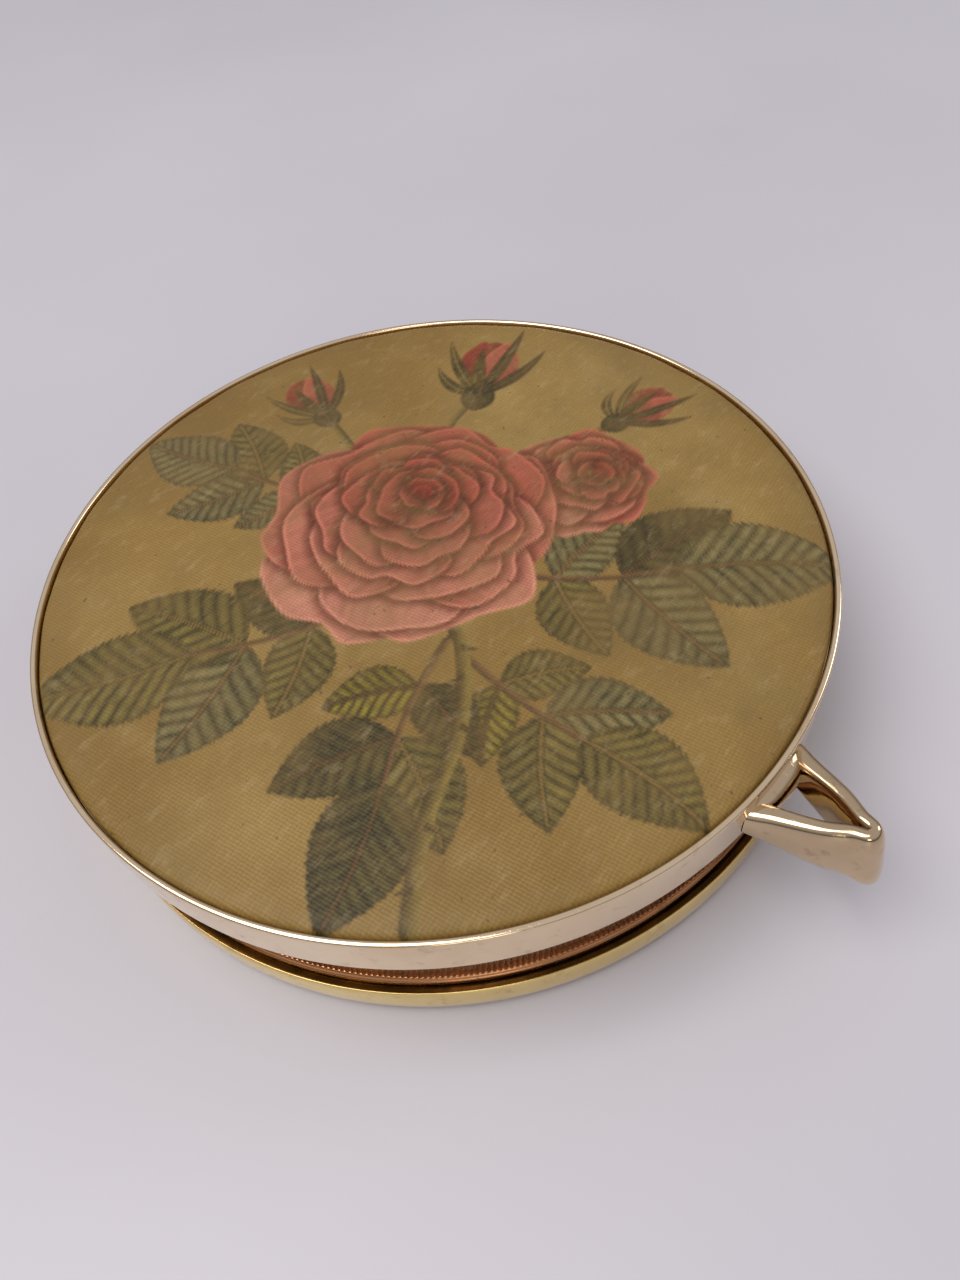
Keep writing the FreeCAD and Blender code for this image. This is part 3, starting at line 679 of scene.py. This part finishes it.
def pressed_powder():
    """Loose peach face powder, grained, with painted shade darkening its hollows."""
    n = Nodes("face_powder")
    lumps = n.noise(900.0, 5.0, 0.7)
    # painted shade: the powder is darker where its bump is low, in the hollows
    tint = n.mix(n.between(lumps, 0.3, 0.7), (0.56, 0.34, 0.24, 1), (0.78, 0.55, 0.42, 1))
    normal = n.bump(n.noise(9000.0, 2.0, 0.7), 0.00003, 0.9, n.bump(lumps, 0.0003, 0.6))
    return n.finish(Base_Color=tint, Roughness=n.between(lumps, 0.2, 0.8, 0.85, 0.97),
                    Specular_IOR_Level=0.2, Normal=normal)


def grey_card():
    """Pulp card, with fibres."""
    n = Nodes("grey_card")
    fibre = n.noise(1.0, 4.0, 0.7, n.stretch((1500.0, 6000.0, 3000.0), (0, 0, 0.6)))
    tint = n.mix(n.between(fibre, 0.35, 0.7), (0.30, 0.26, 0.21, 1), (0.46, 0.41, 0.34, 1))
    return n.finish(Base_Color=tint, Roughness=n.between(fibre, 0.2, 0.8, 0.8, 0.93),
                    Normal=n.bump(fibre, 0.00005, 0.7))


def printed_cloth():
    """Antique gold satin that carries the print: fine slanting weave, worn and mottled, with stains."""
    n = Nodes("printed_cloth")
    print_colour = n.add("ShaderNodeAttribute", attribute_name="Print").outputs["Color"]
    slant = math.radians(-42.0 + 32.0)
    threads = []
    for turn, pitch in ((slant, 0.00030), (slant + math.pi / 2, 0.00034)):
        place = n.stretch((1.0, 1.0, 1.0), (0.0, 0.0, turn))
        threads.append(n.add("ShaderNodeTexWave", {
            "Vector": place, "Scale": math.pi / (10.0 * pitch), "Distortion": 2.2, "Detail": 2.0,
            "Detail Scale": 2.0}, wave_type="BANDS", bands_direction="X").outputs["Fac"])
    weave = n.math("ADD", n.math("MULTIPLY", threads[0], 0.62), n.math("MULTIPLY", threads[1], 0.38))
    grain = n.noise(3600.0, 3.0, 0.65)
    slub = n.noise(1.0, 4.0, 0.6, n.stretch((700.0, 5200.0, 900.0), (0, 0, slant)))
    mottle = n.noise(210.0, 5.0, 0.62)
    stain = n.between(n.noise(95.0, 5.0, 0.65, distortion=0.6), 0.56, 0.74)
    speck = n.between(n.noise(1300.0, 2.0, 0.6), 0.69, 0.75)
    tint = n.mix(n.between(weave, 0.2, 0.9, 0.24, 0.0), print_colour, (0.05, 0.028, 0.008, 1))
    tint = n.mix(n.between(slub, 0.5, 0.8, 0.0, 0.14), tint, (0.52, 0.38, 0.15, 1))
    tint = n.mix(n.between(grain, 0.35, 0.7, 0.16, 0.0), tint, (0.09, 0.055, 0.018, 1))
    tint = n.mix(n.between(mottle, 0.42, 0.68, 0.0, 0.42), tint, (0.19, 0.118, 0.035, 1))
    patch = n.between(n.noise(48.0, 4.0, 0.6, distortion=0.8), 0.48, 0.7)
    tint = n.mix(n.math("MULTIPLY", patch, 0.34), tint, (0.17, 0.11, 0.04, 1))
    pale = n.between(n.noise(1.0, 5.0, 0.7, n.stretch((420.0, 900.0, 420.0), (0, 0, 0.5))), 0.55, 0.72)
    tint = n.mix(n.math("MULTIPLY", pale, 0.2), tint, (0.46, 0.35, 0.19, 1))
    tint = n.mix(n.math("MULTIPLY", stain, 0.42), tint, (0.14, 0.085, 0.025, 1))
    tint = n.mix(n.math("MULTIPLY", speck, 0.55), tint, (0.05, 0.035, 0.02, 1))
    rough = n.math("ADD", n.between(mottle, 0.3, 0.75, 0.42, 0.56), n.between(slub, 0.3, 0.8, 0.05, -0.06))
    normal = n.bump(weave, 0.00003, 0.75, n.bump(slub, 0.00003, 0.5, n.bump(mottle, 0.00012, 0.25)))
    return n.finish(Base_Color=tint, Roughness=rough, Specular_IOR_Level=0.25, Sheen_Weight=0.03,
                    Sheen_Roughness=0.35, Normal=normal)


FELT = cloth("wool_felt", (0.52, 0.47, 0.38), (0.40, 0.35, 0.27), 0.0011, 0.4, 0.5, 0.9)
VELOUR = cloth("powder_velour", (0.80, 0.56, 0.50), (0.66, 0.42, 0.36), 0.0005, 0.3, 0.9, 0.9, 0.00012)
SATIN = cloth("puff_satin", (0.78, 0.50, 0.46), (0.64, 0.36, 0.33), 0.00022, 0.7, 0.25, 0.36)
RIBBON = cloth("ribbon_satin", (0.72, 0.36, 0.36), (0.56, 0.25, 0.26), 0.00025, 0.0, 0.25, 0.3)
GAUZE = cloth("sifter_gauze", (0.74, 0.62, 0.52), (0.50, 0.34, 0.25), 0.0005, 0.2, 0.2, 0.8, 0.0001)
THREAD = cloth("sewing_thread", (0.84, 0.62, 0.56), (0.66, 0.42, 0.38), 0.0003, 0.0, 0.3, 0.5)
PRINTED = printed_cloth()
FOOT_GOLD = foot_gold_with_painted_shade()
MIRROR = mirror_glass()
POWDER = pressed_powder()
CARD = grey_card()

CAD_FINISHES = {
    "inner_pan": PAN_GOLD, "powder_well": PAN_GOLD,
    "sifter_frame": GOLD, "mesh_ring": PAN_GOLD, "base_hinge": GOLD, "hinge_pin": STEEL,
    "catch_spring": BRONZE, "catch_tongue": PAN_GOLD, "lid_hinge": GOLD,
    "panel_disc": CARD, "mirror_card": CARD, "mirror": MIRROR, "mirror_bezel": GOLD,
}
for node, finish in CAD_FINISHES.items():
    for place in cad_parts[node].material_slots:
        place.material = finish


# ---------------------------------------------------------------- soft pieces


FABRIC_LOW, FABRIC_HIGH = node_box("fabric_panel")
FABRIC_RADIUS = FABRIC_HIGH[0]
FABRIC_SKIN = 0.2
PRINT_TURN = math.radians(42.0)


def fabric_height(x, y, inward=0.0):
    """Height of the domed cloth: a low crown, rolled down at its border, with slight puckers there."""
    shoulder = FABRIC_RADIUS - 1.9
    far = np.hypot(x, y) + inward
    crown = 0.42 * (far / FABRIC_RADIUS) ** 2
    roll = np.clip((far - shoulder) / (FABRIC_RADIUS - shoulder), 0, 1)
    edge = 0.62 * (1 - np.sqrt(np.clip(1 - roll ** 2.2, 0, 1)))
    turn = np.arctan2(y, x)
    pucker = 0.03 * roll * (np.sin(turn * 19 + 0.6) + np.sin(turn * 31 + 2.0))
    soft = 0.03 * (clouds(x * 0.12 + 40, y * 0.12 + 40, 3.0) - 0.8)
    return np.minimum(FABRIC_HIGH[2] - crown - edge + pucker + soft, FABRIC_HIGH[2])


def make_fabric():
    """The printed cloth, domed over its felt and rolled down into the rim."""
    foot = FABRIC_LOW[2]
    drop = fabric_height(np.array([FABRIC_RADIUS]), np.array([0.0]))[0]
    wall = [(FABRIC_RADIUS, drop - 0.25), (FABRIC_RADIUS, foot + 0.1), (FABRIC_RADIUS - 0.05, foot)]
    points, faces = shell_disc(
        296, 74, FABRIC_RADIUS, fabric_height, wall, FABRIC_RADIUS - FABRIC_SKIN,
        lambda x, y: np.maximum(fabric_height(x, y, FABRIC_SKIN) - FABRIC_SKIN, foot + 0.05))
    piece = new_piece("printed_fabric", points, faces, "lid", "fabric_panel", PRINTED)
    canvas = Canvas(points[:, 0] * math.cos(PRINT_TURN) - points[:, 1] * math.sin(PRINT_TURN),
                    points[:, 0] * math.sin(PRINT_TURN) + points[:, 1] * math.cos(PRINT_TURN))
    paint_spray(canvas)
    colours = np.concatenate([canvas.colour, np.ones((len(points), 1))], axis=1)
    layer = piece.data.color_attributes.new("Print", "FLOAT_COLOR", "POINT")
    layer.data.foreach_set("color", np.clip(colours, 0, 1).astype(np.float32).ravel())
    return piece


def padded_disc(name, node, body, material, inset, corner, cap, voxel, ceiling=None):
    """A round pad, swollen by a short cloth simulation inside its CAD solid and under a ceiling."""
    low, high = node_box(node)
    radius = high[0] - inset
    foot, top = low[2] + inset * 0.5, high[2] - inset * 0.5
    profile = rounded([(0.02, foot, 0), (radius, foot, corner), (radius, top, corner), (0.02, top, 0)])
    points, faces = lathe(profile, 96)
    piece = new_piece(name, points, faces, body, node, material)
    swell(piece, voxel, cap, low, high, ceiling)
    return piece


def swell(piece, voxel, cap, low, high, ceiling):
    """Voxel remesh and cloth pressure at ten times the size; how far a point moves is capped."""
    grow = 10.0
    work = bpy.data.objects.new("swelling", piece.data.copy())
    bpy.context.scene.collection.objects.link(work)
    work.data.transform(Matrix.Scale(grow, 4))
    remesh = work.modifiers.new("remesh", "REMESH")
    remesh.mode = "VOXEL"
    remesh.voxel_size = voxel * MM * grow
    settled = mesh_now(work)
    work.modifiers.clear()
    work.data = settled
    start = vertex_array(settled)
    sim = work.modifiers.new("cloth", "CLOTH")
    sim.settings.quality = 5
    sim.settings.use_pressure = True
    sim.settings.uniform_pressure_force = 4.0
    sim.settings.effector_weights.gravity = 0.0
    for number in range(1, 21):
        bpy.context.scene.frame_set(number)
    moved = vertex_array(mesh_now(work))
    bpy.context.scene.frame_set(1)
    work.modifiers.clear()
    step = moved - start
    far = np.linalg.norm(step, axis=1, keepdims=True)
    limit = cap * MM * grow
    start = start + step * np.minimum(1.0, limit / np.maximum(far, 1e-9))
    places = start / grow / MM
    far = np.hypot(places[:, 0], places[:, 1])
    places[:, :2] *= np.minimum(1.0, (high[0] - 0.02) / np.maximum(far, 1e-9))[:, None]
    most = ceiling(places[:, 0], places[:, 1]) if ceiling else high[2] - 0.02
    places[:, 2] = np.clip(places[:, 2], low[2] + 0.02, most)
    settled.vertices.foreach_set("co", (places * MM).astype(np.float32).ravel())
    settled.update()
    settled.materials.clear()
    settled.materials.append(piece.data.materials[0])
    settled.polygons.foreach_set("use_smooth", [True] * len(settled.polygons))
    piece.data = settled
    bpy.data.objects.remove(work)
    piece.modifiers.new("smooth", "SUBSURF").levels = 1
    piece.modifiers["smooth"].render_levels = 1


def mesh_now(piece):
    """A copy of the piece's mesh with its modifiers applied."""
    graph = bpy.context.evaluated_depsgraph_get()
    graph.update()
    return bpy.data.meshes.new_from_object(piece.evaluated_get(graph))


def vertex_array(mesh):
    """The mesh's points as an array."""
    flat = np.zeros(len(mesh.vertices) * 3)
    mesh.vertices.foreach_get("co", flat)
    return flat.reshape(-1, 3)


LEDGE_DROP = 0.2


def make_waist():
    """The recessed waist, with fine upright flutes all round and a bead at its foot."""
    low, high = node_box("waist_band")
    radius, foot, top = high[0], low[2], high[2]
    inner = frame_inner("waist_band", foot, top)
    flutes = 480
    body = radius - 0.3
    corners = [(inner, foot - LEDGE_DROP, 0), (radius, foot - LEDGE_DROP, 0.15),
               (radius, foot + 0.4, 0.18), (body, foot + 0.55, 0.1),
               (body, top - 0.45, 0.1), (body + 0.2, top - 0.3, 0.1), (body + 0.2, top, 0.05), (inner, top, 0)]
    profile = rounded(corners, 3)

    def bend(r, z, turn):
        grooved = (z > foot + 0.6) & (z < top - 0.5) & (r > inner + 0.1)
        return r - np.where(grooved, 0.1 * (0.5 + 0.5 * np.cos(turn * flutes)), 0.0), z

    points, faces = lathe(add_levels(profile, body, foot + 0.65, top - 0.6), flutes * 6, bend)
    return new_piece("fluted_waist", points, faces, "base", "waist_band", WAIST_GOLD_SHADED)


def frame_inner(node, foot, top):
    """The smallest distance of a CAD node's points from the Z axis, in millimetres."""
    points = vertex_array(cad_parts[node].data) / MM
    level = (points[:, 2] > foot - 0.1) & (points[:, 2] < top + 0.1)
    return float(np.hypot(points[level, 0], points[level, 1]).min())


def add_levels(profile, radius, foot, top):
    """The profile with two more points on its upright stretch at that radius."""
    for index in range(len(profile) - 1):
        here, after = profile[index], profile[index + 1]
        if abs(here[0] - after[0]) < 1e-6 and abs(here[0] - radius) < 1e-6 and after[1] - here[1] > 2:
            extra = np.array([[radius, foot], [radius, top]])
            return np.vstack([profile[:index + 1], extra, profile[index + 1:]])
    raise ValueError("the profile has no upright stretch at that radius")


def make_foot():
    """The drawn base cup: flat underside with a bead groove, bulged wall and a cove that meets the waist."""
    low, high = node_box("base_cup")
    radius, top = high[0], high[2]
    wall = 0.8
    bore = 33.85
    groove_inner, groove_outer, groove_depth = 30.9, 32.3, 0.3
    waist = node_box("waist_band")[1][0]
    ledge = top - LEDGE_DROP
    corners = [(0.02, 0, 0), (groove_inner, 0, 0), (groove_inner + groove_depth, groove_depth, 0.1),
               (groove_outer - groove_depth, groove_depth, 0.1), (groove_outer, 0, 0),
               (radius - 1.2, 0, 0.3), (radius - 0.3, 0.55, 0.6), (radius, 2.2, 1.2),
               (radius - 0.06, top - 0.35, 0.5), (radius - 0.2, top, 0.1), (radius - 0.45, top - 0.12, 0.15),
               (waist - 0.1, ledge - 0.14, 0.3), (waist - 0.35, ledge, 0.1), (bore, ledge, 0),
               (bore, top - wall, 0), (radius - wall, top - wall, 0), (radius - wall, wall, 0), (0.02, wall, 0)]
    points, faces = lathe(rounded(corners, 6), 480)
    return new_piece("drawn_foot", points, faces, "base", "base_cup", FOOT_GOLD)


def make_powder():
    """Loose powder with a dimpled top."""
    low, high = node_box("powder_fill")

    def top(x, y):
        dip = 0.5 * clouds(x * 0.22 + 9, y * 0.22 + 9, 4.0) + 0.25 * noise(x * 0.9, y * 0.9, 6.0)
        return high[2] - 0.05 - dip

    points, faces = shell_disc(120, 60, high[0], top, [(high[0], low[2] + 0.2)], high[0] - 0.05,
                               lambda x, y: np.full(len(x), low[2]))
    return new_piece("loose_powder", points, faces, "base", "powder_fill", POWDER)


def make_gauze():
    """Fine gauze, stretched in the sifter and sagging a little."""
    low, high = node_box("sifter_mesh")

    def sag(x, y):
        return -0.12 * (1 - (x ** 2 + y ** 2) / high[0] ** 2) * (1 + 0.3 * noise(x * 0.2, y * 0.2, 2.0))

    points, faces = shell_disc(96, 48, high[0], lambda x, y: high[2] - 0.02 + sag(x, y), [],
                               high[0] - 0.02, lambda x, y: low[2] + 0.06 + sag(x, y))
    piece = new_piece("sifter_gauze", points, faces, "base", "sifter_mesh", GAUZE)
    return piece


def make_puff_back():
    """Satin back of the puff, gathered slightly at its edge."""
    low, high = node_box("puff_back")
    radius = high[0]

    def top(x, y):
        far = np.hypot(x, y) / radius
        turn = np.arctan2(y, x)
        gather = 0.06 * smooth(0.62, 0.96, far) * (np.sin(turn * 44) + 0.6 * np.sin(turn * 71 + 1))
        return high[2] - 0.1 - 0.08 * smooth(0.85, 1.0, far) + gather

    points, faces = shell_disc(200, 100, radius - 0.4, top, [], radius - 0.5,
                               lambda x, y: np.full(len(x), low[2] + 0.03))
    piece = new_piece("puff_satin_back", points, faces, "puff", "puff_back", SATIN)
    return piece


def make_piping():
    """Twisted cord sewn round the puff where pad and satin meet."""
    low, high = node_box("puff_back")
    radius, level, thick, strands = high[0] - 0.42, low[2] + 0.02, 0.3, 150
    turn = np.linspace(0, 2 * np.pi, 16, endpoint=False)
    profile = np.column_stack([radius + thick * np.cos(turn), level + thick * np.sin(turn)])

    def twist(r, z, angle):
        bulge = 1 + 0.16 * np.cos(2 * np.arctan2(z - level, r - radius) - angle * strands)
        return radius + (r - radius) * bulge, level + (z - level) * bulge

    points, faces = lathe(profile, 1200, twist)
    mesh_piece = new_piece("puff_piping", points, faces, "puff", None, RIBBON)
    return mesh_piece


def make_stitches():
    """Two rows of thread that hold each end of the ribbon down."""
    low, high = node_box("puff_ribbon")
    level, half_wide = low[2] + 0.19, high[1] - 1.0
    points, faces = [], []
    for end in (-1, 1):
        for row in (0.9, 1.9):
            for across in np.arange(-half_wide, half_wide + 0.01, 0.8):
                centre = np.array([end * (high[0] - row), across, level])
                add_bead(points, faces, centre, (0.09, 0.27, 0.07))
    return new_piece("ribbon_stitches", np.array(points), faces, "puff", None, THREAD)


def add_bead(points, faces, centre, half):
    """One long stitch: a small closed ellipsoid added to the lists."""
    rings, around, first = 5, 10, len(points)
    for ring in range(rings):
        tilt = np.pi * (ring + 0.5) / rings
        for step in range(around):
            turn = 2 * np.pi * step / around
            points.append(centre + np.array(half) * [np.sin(tilt) * np.cos(turn), np.cos(tilt),
                                                     np.sin(tilt) * np.sin(turn)])
    for ring in range(rings - 1):
        for step in range(around):
            here, beside = first + ring * around + step, first + ring * around + (step + 1) % around
            faces.append((here, here + around, beside + around, beside))
    faces.append(tuple(first + step for step in range(around)))
    faces.append(tuple(first + (rings - 1) * around + step for step in reversed(range(around))))


def make_ribbon():
    """Ribbon across the puff, sewn at both ends, with woven edges and a slight bow."""
    low, high = node_box("puff_ribbon")
    half_long, half_wide = high[0], high[1]
    rows, columns = 80, 24
    along, across = np.meshgrid(np.linspace(-1, 1, rows + 1), np.linspace(-1, 1, columns + 1), indexing="ij")
    bow = 0.34 * (1 - along ** 2) ** 2 * (1 - 0.35 * across ** 2)
    edge = 0.04 * smooth(0.86, 1.0, np.abs(across))
    top = low[2] + 0.16 + bow + edge + 0.015 * np.sin(along * 23 + across * 3)
    x, y = along * half_long, across * (half_wide - 0.12 * np.sin(along * 3) ** 2)
    upper = np.stack([x, y, top], axis=-1).reshape(-1, 3)
    lower = upper - [0, 0, 0.12]
    row = columns + 1
    start = (np.arange(rows)[:, None] * row + np.arange(columns)[None, :]).ravel()
    net = np.stack([start, start + row, start + row + 1, start + 1], axis=1)
    faces = net.tolist() + (net[:, ::-1] + len(upper)).tolist()
    rim = [step for step in range(columns)] + [columns + row * step for step in range(rows)]
    rim += [rows * row + columns - step for step in range(columns)]
    rim += [row * (rows - step) for step in range(rows)]
    count = len(upper)
    faces += [(rim[i], rim[(i + 1) % len(rim)], rim[(i + 1) % len(rim)] + count, rim[i] + count)
              for i in range(len(rim))]
    piece = new_piece("puff_handle_ribbon", np.vstack([upper, lower]), faces, "puff", "puff_ribbon",
                      RIBBON)
    return piece


def make_rim():
    """The lid's polished rim: a turned skirt with a thin bead on top, cut away over the hinge."""
    low, high = node_box("lid_rim")
    outer, foot, top = high[0], low[2], high[2]
    shelf_top = FABRIC_LOW[2]
    shelf_foot = node_box("panel_disc")[0][2] - 0.4
    bore, lip, wall = frame_inner("lid_rim", foot, top), outer - 0.55, outer - 0.7
    profile = rounded([
        (wall, foot, 0.12), (outer - 0.02, foot, 0.16), (outer, foot + 0.6, 0), (outer, top - 0.5, 0),
        (outer, top, 0.42), (lip, top, 0.3), (lip, shelf_top, 0.05), (bore, shelf_top, 0.1),
        (bore, shelf_foot, 0.1), (wall, shelf_foot, 0.3)], 6)
    hinge_low, hinge_high = node_box("base_hinge")
    clear_width, clear_level = hinge_high[0] + 0.35, node_box("hinge_pin")[1][2] + 0.75

    def bend(r, z, turn):
        over_hinge = (np.abs(r * np.cos(turn)) < clear_width) & (np.sin(turn) > 0) & (r > wall - 0.01)
        return r, np.where(over_hinge, np.maximum(z, clear_level), z)

    points, faces = lathe(profile, 720, bend)
    return new_piece("polished_rim", points, faces, "lid", "lid_rim", RIM_GOLD)


def make_thumb_loop():
    """The cast loop: one strip from root to nose and back, deeper towards the nose, on a root plate."""
    low, high = node_box("thumb_loop")
    skirt = node_box("lid_rim")[1][0]
    nose = -low[1] - 0.1
    stations, around = 180, 28
    root_side, root_reach, tip_side = 2.7, skirt - 0.5, 0.42
    arm = [(root_side + 0.2, root_reach), (root_side + 0.05, root_reach + 0.7), (root_side - 0.25, root_reach + 1.7),
           (1.6, 40.5), (tip_side + 0.32, nose - 2.9), (tip_side, nose - 1.65)]
    path = arm + [(0.0, nose - 1.35)] + [(-side, reach) for side, reach in reversed(arm)]
    line = curve_through(path, 40)
    lengths = np.concatenate([[0], np.cumsum(np.hypot(*np.diff(line, axis=0).T))])
    at = np.linspace(0, lengths[-1], stations)
    side = np.interp(at, lengths, line[:, 0])
    reach = np.interp(at, lengths, line[:, 1])
    ahead = np.stack([np.gradient(side), np.gradient(reach)], axis=1)
    ahead /= np.hypot(ahead[:, 0], ahead[:, 1])[:, None]
    out = np.stack([ahead[:, 1], -ahead[:, 0]], axis=1)
    share = np.clip((reach - root_reach) / (nose - 1.35 - root_reach), 0, 1)
    flare = np.exp(-np.clip(reach - root_reach, 0, None) / 0.8)
    top = 14.2 + 0.95 * share ** 1.1
    foot = 11.3 - 2.85 * share ** 0.95
    outward = 1.28 - 0.5 * share + 0.15 * flare
    inward = 0.55 + 0.15 * share + 0.3 * flare
    middle, half_high = (top + foot) / 2, (top - foot) / 2
    turn = np.linspace(0, 2 * np.pi, around, endpoint=False)
    across = np.sign(np.cos(turn)) * np.abs(np.cos(turn)) ** 0.6
    up = np.sign(np.sin(turn)) * np.abs(np.sin(turn)) ** 0.6
    wide = np.where(across > 0, outward[:, None], inward[:, None]) * across[None, :]
    z = middle[:, None] + half_high[:, None] * up[None, :]
    lean = -0.6 * share[:, None] ** 2 * up[None, :]
    x = side[:, None] + out[:, 0][:, None] * wide
    y = -(reach[:, None] + out[:, 1][:, None] * wide + lean)
    points = np.stack([x, y, z], axis=-1).reshape(-1, 3)
    faces = [(s * around + a, s * around + (a + 1) % around,
              (s + 1) * around + (a + 1) % around, (s + 1) * around + a)
             for s in range(stations - 1) for a in range(around)]
    faces += [tuple(range(around))[::-1], tuple((stations - 1) * around + a for a in range(around))]
    plate = plate_points(skirt)
    count = len(points)
    faces += [tuple(count + corner for corner in face) for face in plate[1]]
    return new_piece("cast_thumb_loop", np.vstack([points, plate[0]]), faces, "lid", "thumb_loop", LOOP_GOLD_PAINTED_REFLECTION)


def plate_points(skirt):
    """The curved root block against the skirt, rounded all over and thickest in its middle."""
    wide, high = 48, 24
    half_turn = math.radians(6.0)
    across, up = np.meshgrid(np.linspace(-1, 1, wide + 1), np.linspace(-1, 1, high + 1), indexing="ij")
    round_off = np.clip(1 - np.abs(up) ** 2.6, 0, 1) ** 0.5 * np.clip(1 - np.abs(across) ** 5, 0, 1) ** 0.5
    thick = (0.5 + 0.75 * np.clip(1 - (across / 0.8) ** 4, 0, 1)) * round_off
    narrow = np.clip(1 - np.abs(across) ** 4, 0, 1) ** 0.25
    z = 12.75 + 1.65 * up * (0.35 + 0.65 * narrow)
    turn = -np.pi / 2 + half_turn * across
    points = []
    for r in (skirt - 0.1 + 0 * thick, skirt - 0.05 + thick):
        points.append(np.stack([r * np.cos(turn), r * np.sin(turn), z], axis=-1).reshape(-1, 3))
    row = high + 1
    start = (np.arange(wide)[:, None] * row + np.arange(high)[None, :]).ravel()
    net = np.stack([start, start + row, start + row + 1, start + 1], axis=1)
    count = len(points[0])
    faces = [tuple(face) for face in net[:, ::-1]] + [tuple(face + count) for face in net]
    rim = list(range(high)) + [high + row * step for step in range(wide)]
    rim += [wide * row + high - step for step in range(high)] + [row * (wide - step) for step in range(wide)]
    faces += [(rim[i], rim[(i + 1) % len(rim)], rim[(i + 1) % len(rim)] + count, rim[i] + count)
              for i in range(len(rim))]
    return np.vstack(points), faces


make_fabric()
padded_disc("felt_padding", "panel_padding", "lid", FELT, 0.12, 0.2, 0.1, 0.6,
            lambda x, y: fabric_height(x, y, FABRIC_SKIN) - FABRIC_SKIN - 0.08)
padded_disc("velour_pad", "puff_pad", "puff", VELOUR, 0.35, 0.8, 0.35, 0.7)
make_puff_back()
make_ribbon()
make_piping()
make_stitches()
make_gauze()
make_powder()
make_waist()
make_foot()
make_rim()
make_thumb_loop()


# ---------------------------------------------------------------- stage


def table_plastic():
    """Pale, slightly uneven plastic table top with faint scuffs."""
    n = Nodes("table_plastic")
    cloudy = n.noise(9.0, 3.0, 0.5)
    scuff = n.between(n.noise(1.0, 4.0, 0.6, n.stretch((40.0, 900.0, 40.0), (0, 0, 0.9))), 0.66, 0.8)
    tint = n.mix(n.between(cloudy, 0.3, 0.7), (0.475, 0.455, 0.49, 1), (0.52, 0.50, 0.535, 1))
    tint = n.mix(n.math("MULTIPLY", scuff, 0.12), tint, (0.36, 0.34, 0.38, 1))
    return n.finish(Base_Color=tint, Roughness=n.between(cloudy, 0.3, 0.7, 0.34, 0.46),
                    Specular_IOR_Level=0.4, Normal=n.bump(n.noise(55.0, 2.0), 0.0003, 0.3))


def make_stage():
    """Floor, studio world and soft lights."""
    bpy.ops.mesh.primitive_plane_add(size=12.0, location=(0, 0, 0))
    floor = bpy.context.object
    floor.name = "floor"
    floor.data.materials.append(table_plastic())

    world = bpy.data.worlds.new("studio")
    bpy.context.scene.world = world
    world.use_nodes = True
    tree = world.node_tree
    direction = tree.nodes.new("ShaderNodeTexCoord").outputs["Generated"]
    split = tree.nodes.new("ShaderNodeSeparateXYZ")
    tree.links.new(direction, split.inputs[0])
    sky = tree.nodes.new("ShaderNodeValToRGB")
    tree.links.new(split.outputs["Z"], sky.inputs["Fac"])
    sky.color_ramp.elements[0].position = 0.10
    sky.color_ramp.elements[0].color = (0.25, 0.24, 0.245, 1)
    sky.color_ramp.elements[1].position = 0.62
    sky.color_ramp.elements[1].color = (0.92, 0.90, 0.96, 1)
    tree.links.new(sky.outputs["Color"], tree.nodes["Background"].inputs["Color"])
    tree.nodes["Background"].inputs["Strength"].default_value = 0.62

    for name, place, width, power, colour in (
            ("key_light", (-0.30, 0.15, 0.80), 0.60, 5.6, (1.0, 0.985, 0.96)),
            ("side_light", (-0.55, -0.55, 0.30), 0.25, 0.5, (1.0, 0.97, 0.95)),
            ("right_light", (0.65, -0.30, 0.45), 0.25, 0.6, (0.98, 0.98, 1.0))):
        light = bpy.data.lights.new(name, "AREA")
        light.size = width
        light.energy = power
        light.color = colour
        lamp = bpy.data.objects.new(name, light)
        bpy.context.scene.collection.objects.link(lamp)
        lamp.location = place
        lamp.rotation_mode = "QUATERNION"
        lamp.rotation_quaternion = (-Vector(place)).to_track_quat("-Z", "Y")


def make_camera():
    """The camera: a phone held close above the lid, slightly rolled."""
    azimuth, elevation, roll = (math.radians(angle) for angle in (-42.0, 52.18, -9.07))
    look_at = Vector((-4.39, -10.28, 16.0)) * MM
    distance = 80.77 * MM
    back = Vector((math.sin(azimuth) * math.cos(elevation), -math.cos(azimuth) * math.cos(elevation),
                   math.sin(elevation)))
    level = Vector((math.cos(azimuth), math.sin(azimuth), 0))
    rise = back.cross(level)
    right = level * math.cos(roll) + rise * math.sin(roll)
    up = back.cross(right)
    lens = bpy.data.cameras.new("camera")
    lens.lens = 27.06
    lens.sensor_width = 36.0
    lens.clip_start = 0.005
    camera = bpy.data.objects.new("camera", lens)
    bpy.context.scene.collection.objects.link(camera)
    turn = Matrix((right, up, back)).transposed()
    camera.matrix_world = Matrix.Translation(look_at + back * distance) @ turn.to_4x4()
    bpy.context.scene.camera = camera


make_stage()
make_camera()

bpy.context.scene.view_settings.view_transform = "Standard"
